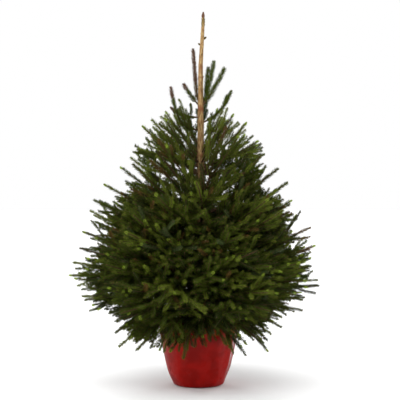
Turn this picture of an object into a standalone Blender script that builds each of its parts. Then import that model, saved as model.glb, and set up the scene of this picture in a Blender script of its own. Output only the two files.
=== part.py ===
"""A pot-grown Norway spruce, 1.4 m tall with its pot.

The trunk stands on the compost of a tapered red pot and runs whole to the tip of its leader. Whorls
of boughs leave it: drooping over the pot's rim at the foot, level at the widest, steep at the top.
Each bough's foliage is one mass of shoots in needle that branch from its stem, and it keeps to its
own space: a sector of azimuth between two curved surfaces of revolution, half way to its neighbours.
"""

import math
import random
from collections import namedtuple

import bmesh
import bpy
from mathutils import Vector

TOTAL_HEIGHT = 1.400
TOUCH_GAP = 0.0003
MERGE_DISTANCE = 0.00001
SEED = 21

POT_HEIGHT = 0.236
POT_FOOT_RADIUS = 0.090
POT_RIM_RADIUS = 0.150
POT_BULGE = 0.70
POT_WALL = 0.0028
POT_SIDES = 26
POT_LEVELS = (0.004, 0.055, 0.125, 0.195)
PLEAT_DEPTH = 0.0016
PLEATS = 5
SOIL_TOP = 0.205
SOIL_EDGE_DROP = 0.007
SOIL_FLAT_RADIUS = 0.050

TRUNK_FOOT_RADIUS = 0.0225
TRUNK_TIP_RADIUS = 0.0050
TRUNK_TAPER = 0.97
TRUNK_SIDES = 16
TRUNK_RINGS = (0.34, 0.50, 0.66, 0.80, 0.95, 1.10, 1.20, 1.28, 1.36)
FLARE_EXTRA = 0.0085
FLARE_HEIGHT = 0.030
FLARE_LOBES = 5
TRUNK_BOW = 0.0080
LEADER_LEAN = 0.0095
BUD_LENGTH = 0.016
BUD_RADIUS = 0.0066

# Chance in the crown: turn and sideways sweep of a bough, shortest reach, rise or fall of its tip.
AZIMUTH_PLAY = math.radians(5)
SWEEP_PLAY = math.radians(7)
REACH_PLAY = 0.965
TIP_PLAY = 0.012
CROWN_LEFTWARD = 0.042

SPACE_MARGIN = 0.0012
SECTOR_MARGIN = math.radians(1)
TRUNK_CLEARANCE = 0.004
POT_CLEARANCE = 0.006
LOWEST_TIP = 0.112

BOUGH_SIDES = 6
BOUGH_SHARE = 0.30
BOUGH_TAPER = 0.92
STEM_SHARE = 0.72
STEM_TIP_RADIUS = 0.0058

# A shoot in needle: its radius, its neck behind a whorl of teeth, its last whorl, how they are spaced.
SHOOT_RADIUS = 0.0205
NECK_SHARE = 0.45
NECK_STEP = 0.02
TIP_WHORL_SHARE = 0.75
SHOOT_SPACING = 0.029
FITTING_TRIES = (1.0, 0.86, 0.72, 0.58)

# Laterals leave a stem, side shoots leave a lateral, and stem shoots fill in above and below.
SPREAD_ANGLE = math.radians(47)
LATERAL_LENGTH = 0.095
LATERAL_GROWTH = 0.30
LATERAL_LIFTS = (0.15, 0.5, -0.1, 0.7)
LATERAL_SWINGS = (0.0, 0.5, -0.5, 0.9)
LONG_LATERAL = 0.165
SHORTEST_PARENT = 0.09
SIDE_SHOOTS = 3
SIDE_SHOOT_LENGTH = 0.125
FIRST_SIDE_SHOOT = 0.22
SIDE_SHOOT_STEP = 0.15
STEM_SHOOTS = 4
STEM_SHOOT_LENGTH = 0.12

# A whorl: height where its boughs leave the trunk, how many, azimuth of the first and pitch at the
# root in degrees, reach from the axis, height of the tips, bough radius, laterals, boughs stand alone.
Whorl = namedtuple("Whorl", "name root count first pitch reach tip thick laterals limb")

WHORLS = (
    Whorl("foot", 0.268, 6, 24, 10, 0.300, 0.150, 0.0064, 4, True),
    Whorl("skirt", 0.312, 5, 18, 8, 0.445, 0.310, 0.0070, 5, True),
    Whorl("broad", 0.366, 5, 36, 8, 0.485, 0.412, 0.0070, 5, False),
    Whorl("flank", 0.430, 5, 0, 4, 0.468, 0.525, 0.0070, 5, False),
    Whorl("waist", 0.502, 5, 22, 12, 0.420, 0.645, 0.0068, 4, False),
    Whorl("shoulder", 0.588, 4, 0, 20, 0.350, 0.752, 0.0066, 4, False),
    Whorl("neck", 0.682, 4, 60, 27, 0.288, 0.858, 0.0064, 4, False),
    Whorl("crown", 0.788, 4, 30, 32, 0.228, 0.955, 0.0060, 3, False),
)

# A shoot of the young whorls under the leader: where it leaves the trunk, azimuth and pitch in
# degrees, reach from the axis, height of its tip, side shoots, share of it that is bare, and the
# power of its rise, which is higher the later it turns up.
Shoot = namedtuple("Shoot", "name root azimuth pitch reach tip sides bare rise")

LEADER_SHOOTS = (
    Shoot("upper_arm_right", 0.985, -12, 22, 0.116, 1.097, 3, 0.48, 3),
    Shoot("upper_arm_left", 1.003, 174, 2, 0.112, 1.040, 3, 0.36, 2),
    Shoot("upper_arm_back", 0.975, 84, 38, 0.110, 1.080, 2, 0.36, 2),
    Shoot("upper_arm_tall", 0.957, 196, 2, 0.1155, 1.110, 0, 0.62, 4),
    Shoot("top_shoot_left", 1.052, 190, 46, 0.064, 1.124, 0, 0.36, 2),
    Shoot("top_shoot_tall", 1.056, 132, 55, 0.042, 1.261, 0, 0.36, 2),
    Shoot("top_shoot_right", 1.050, -20, 50, 0.092, 1.184, 1, 0.36, 2),
    Shoot("top_shoot_inner", 1.054, 42, 58, 0.068, 1.216, 1, 0.36, 2),
)
YOUNG_WHORL_FLOOR = 0.915
YOUNG_WHORL_SLOPE = 0.62
LEADER_SHOOT_RADIUS = 0.0050
LEADER_NEEDLE_RADIUS = 0.0125
LEADER_SIDE_LENGTH = 0.085
LEADER_SIDE_ANGLE = math.radians(43)
# Place along the stem and lean to one side of each side shoot in turn.
LEADER_SIDES = ((0.32, 1), (0.24, -1), (0.35, 0))

# The stem of a mass: where it starts and ends along its line, radius, rings, and its end in needle.
Stem = namedtuple("Stem", "first last thick steps needle_radius whorls")

RED_FILM = (0.42, 0.012, 0.016)
COMPOST = (0.035, 0.022, 0.014)
OLD_BARK = (0.16, 0.095, 0.055)
YOUNG_BARK = (0.36, 0.20, 0.095)
NEEDLE_GREEN = (0.030, 0.055, 0.014)


def clear_scene():
    for obj in list(bpy.data.objects):
        bpy.data.objects.remove(obj, do_unlink=True)


def paint(name, colour, roughness):
    material = bpy.data.materials.new(name)
    material.use_nodes = True
    shader = material.node_tree.nodes["Principled BSDF"]
    shader.inputs["Base Color"].default_value = (*colour, 1.0)
    shader.inputs["Roughness"].default_value = roughness
    return material


def object_from(name, points, faces, material, collection=None):
    mesh = bpy.data.meshes.new(name)
    mesh.from_pydata([tuple(point) for point in points], [], faces)
    if material is not None:
        mesh.materials.append(material)
    work = bmesh.new()
    work.from_mesh(mesh)
    bmesh.ops.recalc_face_normals(work, faces=work.faces)
    work.to_mesh(mesh)
    work.free()
    obj = bpy.data.objects.new(name, mesh)
    (collection or bpy.context.scene.collection).objects.link(obj)
    return obj


def ring_faces(rings, sides):
    """Quads between rings of equal size, and a flat cap on each end."""
    faces = []
    for k in range(rings - 1):
        for i in range(sides):
            j = (i + 1) % sides
            faces.append((k * sides + i, k * sides + j, (k + 1) * sides + j, (k + 1) * sides + i))
    faces.append(tuple(range(sides)))
    faces.append(tuple((rings - 1) * sides + i for i in range(sides)))
    return faces


def smooth_step(value, low, high):
    t = min(1.0, max(0.0, (value - low) / (high - low)))
    return t * t * (3 - 2 * t)


# The trunk and its leader


def trunk_stations():
    """Height, sideways place and radius of each ring: a slight bow, then a leader that leans on."""
    foot, bud_foot = SOIL_TOP + TOUCH_GAP, TOTAL_HEIGHT - BUD_LENGTH
    stations = []
    for z in (foot, foot + 0.3 * FLARE_HEIGHT, foot + FLARE_HEIGHT, *TRUNK_RINGS, bud_foot - BUD_RADIUS):
        x = TRUNK_BOW * smooth_step(z, SOIL_TOP, 0.80) + LEADER_LEAN * smooth_step(z, 1.20, 1.36)
        left = (TOTAL_HEIGHT - z) / (TOTAL_HEIGHT - SOIL_TOP)
        radius = TRUNK_TIP_RADIUS + (TRUNK_FOOT_RADIUS - TRUNK_TIP_RADIUS) * left**TRUNK_TAPER
        stations.append((z, x, radius))
    tip = TRUNK_BOW + LEADER_LEAN
    for rise, share in ((0.3, 1.0), (0.75, 0.6), (1.0, 0.15)):
        stations.append((bud_foot + rise * BUD_LENGTH, tip, share * BUD_RADIUS))
    return stations


STATIONS = trunk_stations()


def trunk_at(z):
    """The trunk's sideways place and its radius at a height, straight from ring to ring."""
    for (low, x_low, r_low), (high, x_high, r_high) in zip(STATIONS, STATIONS[1:]):
        if z <= high:
            t = max(0.0, (z - low) / (high - low))
            return x_low + t * (x_high - x_low), r_low + t * (r_high - r_low)
    return STATIONS[-1][1:]


def trunk_centre(z):
    return Vector((trunk_at(z)[0], 0.0, z))


def trunk_radius(z):
    return trunk_at(z)[1]


def build_trunk(bark):
    points = []
    for z, x, radius in STATIONS:
        flare = FLARE_EXTRA * max(0.0, 1 - (z - STATIONS[0][0]) / FLARE_HEIGHT) ** 1.6
        for i in range(TRUNK_SIDES):
            angle = math.tau * i / TRUNK_SIDES
            reach = radius + flare * (0.65 + 0.35 * math.cos(FLARE_LOBES * angle))
            points.append(Vector((x + reach * math.cos(angle), reach * math.sin(angle), z)))
    return object_from("trunk", points, ring_faces(len(STATIONS), TRUNK_SIDES), bark)


# The pot and its compost


def pot_radius(z):
    """Outer radius of the pot, which swells low down and is nearly straight above."""
    share = min(1.0, max(0.0, z / POT_HEIGHT))
    return POT_FOOT_RADIUS + (POT_RIM_RADIUS - POT_FOOT_RADIUS) * share**POT_BULGE


def pleat(angle, z):
    """Soft upright pleats of the thin wall, which die out at the flat foot and at the rim."""
    return PLEAT_DEPTH * math.sin(math.pi * z / POT_HEIGHT) * math.cos(PLEATS * angle + 0.8)


def turned(name, profile, material):
    """A closed, pleated turned solid whose profile starts and ends on the axis."""
    points = [Vector((0, 0, profile[0][1]))]
    for radius, z in profile[1:-1]:
        for i in range(POT_SIDES):
            angle = math.tau * i / POT_SIDES
            r = radius + pleat(angle, z) * min(1.0, radius / pot_radius(z)) ** 6
            points.append(Vector((r * math.cos(angle), r * math.sin(angle), z)))
    points.append(Vector((0, 0, profile[-1][1])))
    last = len(points) - 1
    faces = []
    for i in range(POT_SIDES):
        j = (i + 1) % POT_SIDES
        faces.append((0, 1 + j, 1 + i))
        for k in range(len(profile) - 3):
            a, b = 1 + k * POT_SIDES, 1 + (k + 1) * POT_SIDES
            faces.append((a + i, a + j, b + j, b + i))
        faces.append((last, last - POT_SIDES + i, last - POT_SIDES + j))
    return object_from(name, points, faces, material)


def build_pot(film):
    outside = [(0, 0), (POT_FOOT_RADIUS - 0.006, 0)]
    outside += [(pot_radius(z), z) for z in POT_LEVELS]
    rim = [
        (POT_RIM_RADIUS + 0.001, POT_HEIGHT - 0.004),
        (POT_RIM_RADIUS - 0.0005, POT_HEIGHT),
        (POT_RIM_RADIUS - POT_WALL, POT_HEIGHT - 0.001),
    ]
    inside = [(pot_radius(z) - POT_WALL, z) for z in reversed(POT_LEVELS[1:])]
    inside += [(POT_FOOT_RADIUS - POT_WALL - 0.004, POT_WALL), (0, POT_WALL)]
    return turned("pot", outside + rim + inside, film)


def build_soil(compost):
    """Fills the pot to a low mound, just clear of its wall and floor."""
    wall = POT_WALL + TOUCH_GAP
    edge = SOIL_TOP - SOIL_EDGE_DROP
    fill = [(0, wall), (POT_FOOT_RADIUS - wall - 0.005, wall)]
    fill += [(pot_radius(z) - wall, z) for z in POT_LEVELS[1:-1]]
    fill += [(pot_radius(edge) - wall - 0.0006, edge), (SOIL_FLAT_RADIUS, SOIL_TOP), (0, SOIL_TOP)]
    return turned("soil", fill, compost)


# The growth rule: where a bough runs, and the space that its foliage keeps to


class BoughLine:
    """A bough's centreline: a parabola or steeper curve in its upright plane, with a sideways sweep."""

    def __init__(self, root, azimuth, pitch, reach, tip, sweep=0.0, rise=2):
        self.root = root
        self.azimuth = azimuth
        self.start = trunk_radius(root) + TOUCH_GAP
        self.reach = reach
        self.slope = math.tan(math.radians(pitch))
        run = reach - self.start
        self.bend = (tip - root - self.slope * run) / run**rise
        self.sweep = sweep
        self.rise = rise

    def height(self, radius):
        run = max(0.0, radius - self.start)
        return self.root + self.slope * run + self.bend * run**self.rise

    def point(self, share):
        radius = self.start + share * (self.reach - self.start)
        angle = self.azimuth + self.sweep * share**2
        x = trunk_centre(self.root).x + radius * math.cos(angle)
        return Vector((x, radius * math.sin(angle), self.height(radius)))

    def tangent(self, share):
        return (self.point(share + 0.01) - self.point(share - 0.01)).normalized()


def whorl_line(whorl, index):
    """The line of one bough of a whorl, with its own share of chance and the crown's lean to the left."""
    rng = random.Random(f"{SEED}-{whorl.name}-{index}")
    azimuth = math.radians(whorl.first + 360 * index / whorl.count) + rng.uniform(-1, 1) * AZIMUTH_PLAY
    sweep = rng.uniform(-1, 1) * SWEEP_PLAY
    reach = whorl.reach * (1 - CROWN_LEFTWARD * math.cos(azimuth)) * rng.uniform(REACH_PLAY, 1)
    tip = whorl.tip + rng.uniform(-1, 1) * TIP_PLAY
    return BoughLine(whorl.root, azimuth, whorl.pitch, reach, tip, sweep)


def mean_height(whorl):
    """Height of a whorl's mean bough as a function of the distance from the axis."""
    return BoughLine(whorl.root, 0.0, whorl.pitch, whorl.reach, whorl.tip).height


class Space:
    """The sector that one mass keeps to: azimuth limits, a floor and a ceiling of revolution."""

    def __init__(self, line, half_angle, floor, ceiling, inner=0.0):
        self.azimuth = line.azimuth
        self.half_angle = half_angle
        self.axis = trunk_centre(line.root)
        self.floor = floor
        self.ceiling = ceiling
        self.inner = inner
        self.outer = line.reach + SPACE_MARGIN

    def holds(self, point):
        x, y, z = point.x - self.axis.x, point.y, point.z
        radius = math.hypot(x, y)
        turn = abs((math.atan2(y, x) - self.azimuth + math.pi) % math.tau - math.pi)
        if turn > self.half_angle or radius * math.sin(self.half_angle - turn) < SPACE_MARGIN:
            return False
        if not max(self.inner, trunk_radius(z) + TRUNK_CLEARANCE) < radius < self.outer:
            return False
        if not self.floor(radius) + SPACE_MARGIN < z < self.ceiling(radius) - SPACE_MARGIN:
            return False
        over_pot = z < POT_HEIGHT + POT_CLEARANCE and radius < pot_radius(z) + 2 * POT_CLEARANCE
        return z > LOWEST_TIP and not over_pot


class NearestSpace(Space):
    """The room of a leader shoot: whatever lies nearer to its own line than to any other shoot's."""

    def __init__(self, line, others, floor):
        super().__init__(line, math.pi, floor, lambda radius: TOTAL_HEIGHT)
        self.own = path_of(line)
        self.others = [path_of(other) for other in others]

    def holds(self, point):
        radius = math.hypot(point.x - self.axis.x, point.y)
        if radius < trunk_radius(point.z) + TRUNK_CLEARANCE or point.z < self.floor(radius) + SPACE_MARGIN:
            return False
        own = nearest(point, self.own)
        return all(nearest(point, other) > own + 2 * SPACE_MARGIN for other in self.others)


def path_of(line, steps=12):
    return [line.point(k / steps) for k in range(steps + 1)]


def nearest(point, path):
    """Distance from a point to a path of straight pieces."""
    distances = []
    for a, b in zip(path, path[1:]):
        along = (b - a).dot(point - a) / (b - a).length_squared
        distances.append((a.lerp(b, min(1.0, max(0.0, along))) - point).length)
    return min(distances)


def between(lower, upper):
    return lambda radius: (lower(radius) + upper(radius)) / 2


def young_floor(radius):
    return YOUNG_WHORL_FLOOR + YOUNG_WHORL_SLOPE * radius


def whorl_space(number, line, inner):
    """Half way down to the whorl below, half way up to the one above, and half way round each side."""
    heights = [mean_height(whorl) for whorl in WHORLS]
    floor = between(heights[number - 1], heights[number]) if number else (lambda radius: LOWEST_TIP)
    topmost = number == len(WHORLS) - 1
    ceiling = young_floor if topmost else between(heights[number], heights[number + 1])
    return Space(line, math.pi / WHORLS[number].count - SECTOR_MARGIN, floor, ceiling, inner)


# Limbs and shoots


def frame_along(direction):
    side = direction.cross(Vector((0, 0, 1))).normalized()
    return side, side.cross(direction).normalized()


def leaning(direction, towards, angle):
    """The direction turned by an angle towards a second one."""
    flat = (towards - direction * towards.dot(direction)).normalized()
    return (direction * math.cos(angle) + flat * math.sin(angle)).normalized()


def ring_points(centre, heading, radius, sides, turn=0.0):
    side, up = frame_along(heading)
    angles = [turn + math.tau * i / sides for i in range(sides)]
    return [centre + radius * (math.cos(angle) * side + math.sin(angle) * up) for angle in angles]


def seat_on_trunk(points, azimuth):
    """Moves a limb's first ring onto an upright plane just clear of the bark."""
    out = Vector((math.cos(azimuth), math.sin(azimuth), 0))
    bark = max(trunk_centre(point.z).dot(out) + trunk_radius(point.z) for point in points)
    return [point + out * (bark + TOUCH_GAP - point.dot(out)) for point in points]


def limb_points(line, first, last, thick, thin, sides, steps):
    points = []
    for k in range(steps + 1):
        share = first + (last - first) * k / steps
        radius = thick + (thin - thick) * k / steps
        points += ring_points(line.point(share), line.tangent(share), radius, sides)
    if first == 0.0:
        points[:sides] = seat_on_trunk(points[:sides], line.azimuth)
    return points


def shoot_points(root, direction, length, radius, whorls, turn):
    """A shoot in needle: a three-sided core, pointed at both ends, with whorls of forward teeth."""
    points = [root]
    for k in range(whorls):
        along = (k + 0.85) / (whorls + 0.2)
        reach = radius * (TIP_WHORL_SHARE if k == whorls - 1 else 1.0)
        twist = turn + math.pi / 3 * k
        points += ring_points(root + direction * along * length, direction, reach, 3, twist)
        if k < whorls - 1:
            neck = root + direction * (along - NECK_STEP) * length
            points += ring_points(neck, direction, NECK_SHARE * reach, 3, twist)
    points.append(root + direction * length)
    return points


def band_faces(start, rings):
    """Triangles between rings of three points, which may each be turned a sixth on from the last."""
    faces = []
    for k in range(rings - 1):
        low = start + 3 * k
        for i in range(3):
            j = (i + 1) % 3
            faces.append((low + i, low + j, low + 3 + i))
            faces.append((low + j, low + 3 + j, low + 3 + i))
    return faces


def end_fan(start, point):
    return [(start + i, start + (i + 1) % 3, point) for i in range(3)]


def shoot_faces(count):
    """Triangles of a body that runs from its first point through rings of three to its last point."""
    return end_fan(1, 0) + band_faces(1, (count - 2) // 3) + end_fan(count - 4, count - 1)


def stem_faces(count):
    """Triangles of a body that runs from a flat end through rings of three to its last point."""
    return [(0, 2, 1)] + band_faces(0, (count - 1) // 3) + end_fan(count - 4, count - 1)


def build_bough(name, line, thick, bark):
    points = limb_points(line, 0.0, BOUGH_SHARE, thick, BOUGH_TAPER * thick, BOUGH_SIDES, 2)
    return object_from(name, points, ring_faces(3, BOUGH_SIDES), bark)


def build_stem(name, line, stem, needles):
    """A mass's own limb, whose end is in needle: every other shoot is joined to it."""
    end, tip = line.point(stem.last), line.point(1.0)
    points = limb_points(line, stem.first, stem.last, stem.thick, STEM_TIP_RADIUS, 3, stem.steps)
    ahead, length = (tip - end).normalized(), (tip - end).length
    points += shoot_points(end, ahead, length, stem.needle_radius, stem.whorls, 0.0)[1:]
    return object_from(name, points, stem_faces(len(points)), needles)


# Masses of foliage


class Mass:
    """One bough's foliage, gathered in its own collection and joined to its stem as one solid."""

    def __init__(self, name, line, space, attempt):
        self.line = line
        self.space = space
        self.rng = random.Random(f"{SEED}-{name}-{attempt}")
        self.shoots = [(line.point(STEM_SHARE), line.point(1.0))]
        self.collection = bpy.data.collections.new(name + "_pieces")
        bpy.context.scene.collection.children.link(self.collection)

    def has_room(self, root, tip):
        """Whether a shoot's outer half would stand clear of the outer halves of the others."""
        outer = [root.lerp(tip, share) for share in (0.5, 0.75, 1.0)]
        return all(nearest(point, other) > SHOOT_SPACING for other in self.shoots for point in outer)

    def add_shoot(self, root, direction, length, whorls=2, radius=SHOOT_RADIUS):
        """Adds a shoot where it fits, shortened if need be, and returns its length or 0."""
        turn = self.rng.uniform(0, math.tau)
        for share in FITTING_TRIES:
            tip = root + direction * share * length
            points = shoot_points(root, direction, share * length, radius, whorls, turn)
            if all(self.space.holds(point) for point in points[1:]) and self.has_room(root, tip):
                object_from("shoot", points, shoot_faces(len(points)), None, self.collection)
                self.shoots.append((root.lerp(tip, 0.5), tip))
                return share * length
        return 0.0

    def add_lateral(self, share, turn, lift, length):
        """Adds a twig in needle on one side of the stem, with shorter shoots on its own sides."""
        root, ahead = self.line.point(share), self.line.tangent(share)
        side, up = frame_along(ahead)
        for swing in LATERAL_SWINGS:
            heading = leaning(ahead, turn * side + (lift + swing) * up, SPREAD_ANGLE * (1 - 0.4 * swing))
            grown = self.add_shoot(root, heading, length, 3 if length > LONG_LATERAL else 2)
            if grown:
                break
        if grown < SHORTEST_PARENT:
            return
        side, up = frame_along(heading)
        for k in range(SIDE_SHOOTS):
            aside = turn * (-1) ** k * side + up * self.rng.uniform(-0.8, 1.0)
            place = root + heading * grown * (FIRST_SIDE_SHOOT + SIDE_SHOOT_STEP * k)
            reach = SIDE_SHOOT_LENGTH * self.rng.uniform(0.85, 1.1)
            self.add_shoot(place, leaning(heading, aside, SPREAD_ANGLE), reach)

    def clothe_bough(self, low, laterals):
        """Puts laterals on the stem to the left and right by turns, then shoots above and below."""
        for k in range(laterals):
            share = low + (STEM_SHARE - low) * (k + 0.5) / laterals
            lift = LATERAL_LIFTS[k % len(LATERAL_LIFTS)] + self.rng.uniform(-0.15, 0.15)
            length = LATERAL_LENGTH + LATERAL_GROWTH * (1 - share) * self.line.reach
            self.add_lateral(share, (-1) ** k, lift, length * self.rng.uniform(0.95, 1.1))
        for k in range(STEM_SHOOTS):
            share = self.rng.uniform(low, STEM_SHARE)
            ahead = self.line.tangent(share)
            side, up = frame_along(ahead)
            towards = side * self.rng.uniform(-1, 1) + up * (-1) ** k
            self.add_shoot(self.line.point(share), leaning(ahead, towards, SPREAD_ANGLE), STEM_SHOOT_LENGTH)

    def clothe_leader_shoot(self, sides):
        """Puts a few short shoots low on a young shoot, to one side, the other and above."""
        for share, turn in LEADER_SIDES[:sides]:
            ahead = self.line.tangent(share)
            side, up = frame_along(ahead)
            direction = leaning(ahead, turn * side + 0.9 * up, LEADER_SIDE_ANGLE)
            self.add_shoot(self.line.point(share), direction, LEADER_SIDE_LENGTH, 2, LEADER_NEEDLE_RADIUS)

    def join(self, stem):
        """Joins the pieces to the stem in one Boolean union, and tells whether one clean body came of it."""
        pieces = list(self.collection.objects)
        if pieces:
            needles = stem.data.materials[0]
            union = stem.modifiers.new("join", "BOOLEAN")
            union.operation = "UNION"
            union.solver = "MANIFOLD"
            union.operand_type = "COLLECTION"
            union.collection = self.collection
            graph = bpy.context.evaluated_depsgraph_get()
            stem.data = bpy.data.meshes.new_from_object(stem.evaluated_get(graph))
            stem.modifiers.clear()
            stem.data.materials.clear()
            stem.data.materials.append(needles)
        for piece in pieces:
            bpy.data.objects.remove(piece, do_unlink=True)
        bpy.data.collections.remove(self.collection)
        return keep_largest_body(stem.data)


def keep_largest_body(mesh):
    """Merges near points, drops loose scraps, and tells whether each edge left is shared by two faces."""
    work = bmesh.new()
    work.from_mesh(mesh)
    bmesh.ops.remove_doubles(work, verts=work.verts, dist=MERGE_DISTANCE)
    bmesh.ops.dissolve_degenerate(work, edges=work.edges, dist=MERGE_DISTANCE)
    bmesh.ops.triangulate(work, faces=work.faces)
    left = set(work.faces)
    bodies = []
    while left:
        body, front = set(), [left.pop()]
        while front:
            face = front.pop()
            body.add(face)
            for neighbour in {other for edge in face.edges for other in edge.link_faces} & left:
                left.discard(neighbour)
                front.append(neighbour)
        bodies.append(body)
    largest = max(bodies, key=len)
    scraps = [face for body in bodies if body is not largest for face in body]
    bmesh.ops.delete(work, geom=scraps, context="FACES")
    clean = all(len(edge.link_faces) == 2 for edge in work.edges)
    work.to_mesh(mesh)
    work.free()
    return clean


def grow_mass(name, line, space, stem, needles, clothe):
    """Grows a mass on its stem, and again from another seed until its union is one clean body."""
    for attempt in range(8):
        body = build_stem(name, line, stem, needles)
        mass = Mass(name, line, space, attempt)
        clothe(mass)
        if mass.join(body):
            return
        bpy.data.objects.remove(body, do_unlink=True)
    raise RuntimeError(f"{name} did not join")


def grow_whorl(number, bark, needles):
    """Builds each bough of a whorl: as a limb with a mass at its tip, or as the stem of its own mass."""
    whorl = WHORLS[number]
    for index in range(whorl.count):
        line = whorl_line(whorl, index)
        name = f"{whorl.name}_{index + 1}"
        run = line.reach - line.start
        first, thick, low, inner = 0.0, whorl.thick, 0.12, 0.0
        if whorl.limb:
            build_bough(f"bough_{name}", line, whorl.thick, bark)
            first = BOUGH_SHARE + TOUCH_GAP / run
            thick = BOUGH_TAPER * whorl.thick
            low = first + 0.04
            inner = line.start + first * run + SPACE_MARGIN
        stem = Stem(first, STEM_SHARE, thick, 2, SHOOT_RADIUS, 2)
        space = whorl_space(number, line, inner)
        clothe = lambda mass: mass.clothe_bough(low, whorl.laterals)
        grow_mass(f"needles_{name}", line, space, stem, needles, clothe)


def grow_leader_shoots(needles):
    """The two young whorls stand clear of the rest, so each of their shoots is seen by itself."""
    lines = []
    for young in LEADER_SHOOTS:
        azimuth = math.radians(young.azimuth)
        lines.append(BoughLine(young.root, azimuth, young.pitch, young.reach, young.tip, rise=young.rise))
    for shoot, line in zip(LEADER_SHOOTS, lines):
        space = NearestSpace(line, [other for other in lines if other is not line], young_floor)
        whorls = 3 if shoot.tip - shoot.root > 0.1 else 2
        stem = Stem(0.0, shoot.bare, LEADER_SHOOT_RADIUS, 1, LEADER_NEEDLE_RADIUS, whorls)
        clothe = lambda mass: mass.clothe_leader_shoot(shoot.sides)
        grow_mass(f"needles_{shoot.name}", line, space, stem, needles, clothe)


def main():
    clear_scene()
    old_bark = paint("old_bark", OLD_BARK, 0.85)
    needles = paint("needles", NEEDLE_GREEN, 0.5)
    build_pot(paint("red_film", RED_FILM, 0.22))
    build_soil(paint("compost", COMPOST, 0.95))
    build_trunk(paint("young_bark", YOUNG_BARK, 0.75))
    for number in range(len(WHORLS)):
        grow_whorl(number, old_bark, needles)
    grow_leader_shoots(needles)


main()
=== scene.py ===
"""Looks of a pot-grown Norway spruce, 1.4 m tall with its glossy red pot.

The plant grows here by the rule of the solids: whorls of boughs leave the trunk, each bough bears a pair
of laterals at every year's joint and weaker twigs between, and each lateral does the same again. Needles
stand on every twig, one mesh triangle fold each, and they are joined by tier and by shade of green.
Lengths are in metres, Z is up, the foot of the pot is at the origin and the camera looks along +Y.
"""

import logging
import math
import random
from dataclasses import dataclass, field, replace
from enum import Enum

import bpy
import numpy as np
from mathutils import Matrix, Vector


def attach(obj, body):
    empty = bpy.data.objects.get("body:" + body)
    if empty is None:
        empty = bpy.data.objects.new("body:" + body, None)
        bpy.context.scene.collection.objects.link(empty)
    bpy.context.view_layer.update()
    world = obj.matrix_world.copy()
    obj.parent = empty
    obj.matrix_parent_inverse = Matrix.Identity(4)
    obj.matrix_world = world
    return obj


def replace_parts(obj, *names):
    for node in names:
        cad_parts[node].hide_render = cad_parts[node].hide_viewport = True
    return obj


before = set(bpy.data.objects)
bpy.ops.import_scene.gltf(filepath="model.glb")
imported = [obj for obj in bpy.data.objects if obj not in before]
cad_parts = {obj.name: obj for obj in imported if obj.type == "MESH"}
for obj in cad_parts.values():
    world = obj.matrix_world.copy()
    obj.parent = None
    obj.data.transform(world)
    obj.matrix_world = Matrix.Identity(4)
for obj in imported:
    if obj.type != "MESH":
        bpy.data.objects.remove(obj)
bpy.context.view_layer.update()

log = logging.getLogger("spruce")

SEED = 21
TOTAL_HEIGHT = 1.400
POT_HEIGHT = 0.236
SOIL_TOP = 0.205
TOUCH_GAP = 0.0003
UP = np.array((0.0, 0.0, 1.0))
GOLDEN_ANGLE = math.pi * (3 - math.sqrt(5))


# Small tools


def linear(code: str) -> tuple[float, float, float, float]:
    """Turns an sRGB hex colour to the linear colour that shaders take.

    Args:
        code: Six hex digits, with or without a leading hash.

    Returns:
        Red, green, blue and an alpha of 1.
    """
    digits = code.lstrip("#")
    channels = [int(digits[i : i + 2], 16) / 255 for i in (0, 2, 4)]
    return (*(c / 12.92 if c <= 0.04045 else ((c + 0.055) / 1.055) ** 2.4 for c in channels), 1.0)


def add_node(tree: bpy.types.NodeTree, kind: str, settings: dict | None = None, links: dict | None = None,
             stops: tuple[tuple[float, str], ...] = ()) -> bpy.types.Node:
    """Adds a node, gives it its settings and links its inputs.

    Args:
        tree: The node tree that takes it.
        kind: The node's type name.
        settings: Values by the name or number of an input, or by the name of a property.
        links: Output sockets by the name or number of the input that each one feeds.
        stops: Positions in rising order, and the sRGB colour at each, where the node is a colour ramp.

    Returns:
        The new node.
    """
    node = tree.nodes.new(kind)
    for key, value in (settings or {}).items():
        if isinstance(key, int) or key in node.inputs:
            node.inputs[key].default_value = value
        else:
            setattr(node, key, value)
    for key, socket in (links or {}).items():
        tree.links.new(socket, node.inputs[key])
    for _ in stops[2:]:
        node.color_ramp.elements.new(0.5)
    for number, (position, colour) in enumerate(stops):
        node.color_ramp.elements[number].position = position
        node.color_ramp.elements[number].color = linear(colour)
    return node


def smooth_step(value: np.ndarray | float, low: float, high: float) -> np.ndarray | float:
    """Rises smoothly from 0 at low to 1 at high."""
    t = np.clip((value - low) / (high - low), 0.0, 1.0)
    return t * t * (3 - 2 * t)


def unit(vectors: np.ndarray) -> np.ndarray:
    """Vectors of length 1 in the same directions."""
    return vectors / np.maximum(np.linalg.norm(vectors, axis=-1, keepdims=True), 1e-12)


def full_turn(sides: int) -> np.ndarray:
    """Azimuths of points spaced evenly round a circle, in radians."""
    return math.tau * np.arange(sides) / sides


def ripple(angle: np.ndarray, height: np.ndarray, waves: int, seed: int, finest: float) -> np.ndarray:
    """Seeded relief round an upright form: a sum of slanted waves that closes on itself.

    Args:
        angle: Azimuth of each point, in radians.
        height: Height of each point, in metres.
        waves: How many waves are summed.
        seed: Seed of their directions and phases.
        finest: Length of the finest wave up the form, in metres.

    Returns:
        Relief between about -1 and 1.
    """
    rng = np.random.default_rng(seed)
    total = np.zeros(np.broadcast(angle, height).shape)
    for _ in range(waves):
        round_count = rng.integers(1, 9)
        rise = math.tau / (finest * rng.uniform(1, 6))
        total += np.sin(round_count * angle + rise * height + rng.uniform(0, math.tau)) / math.sqrt(waves)
    return total


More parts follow.
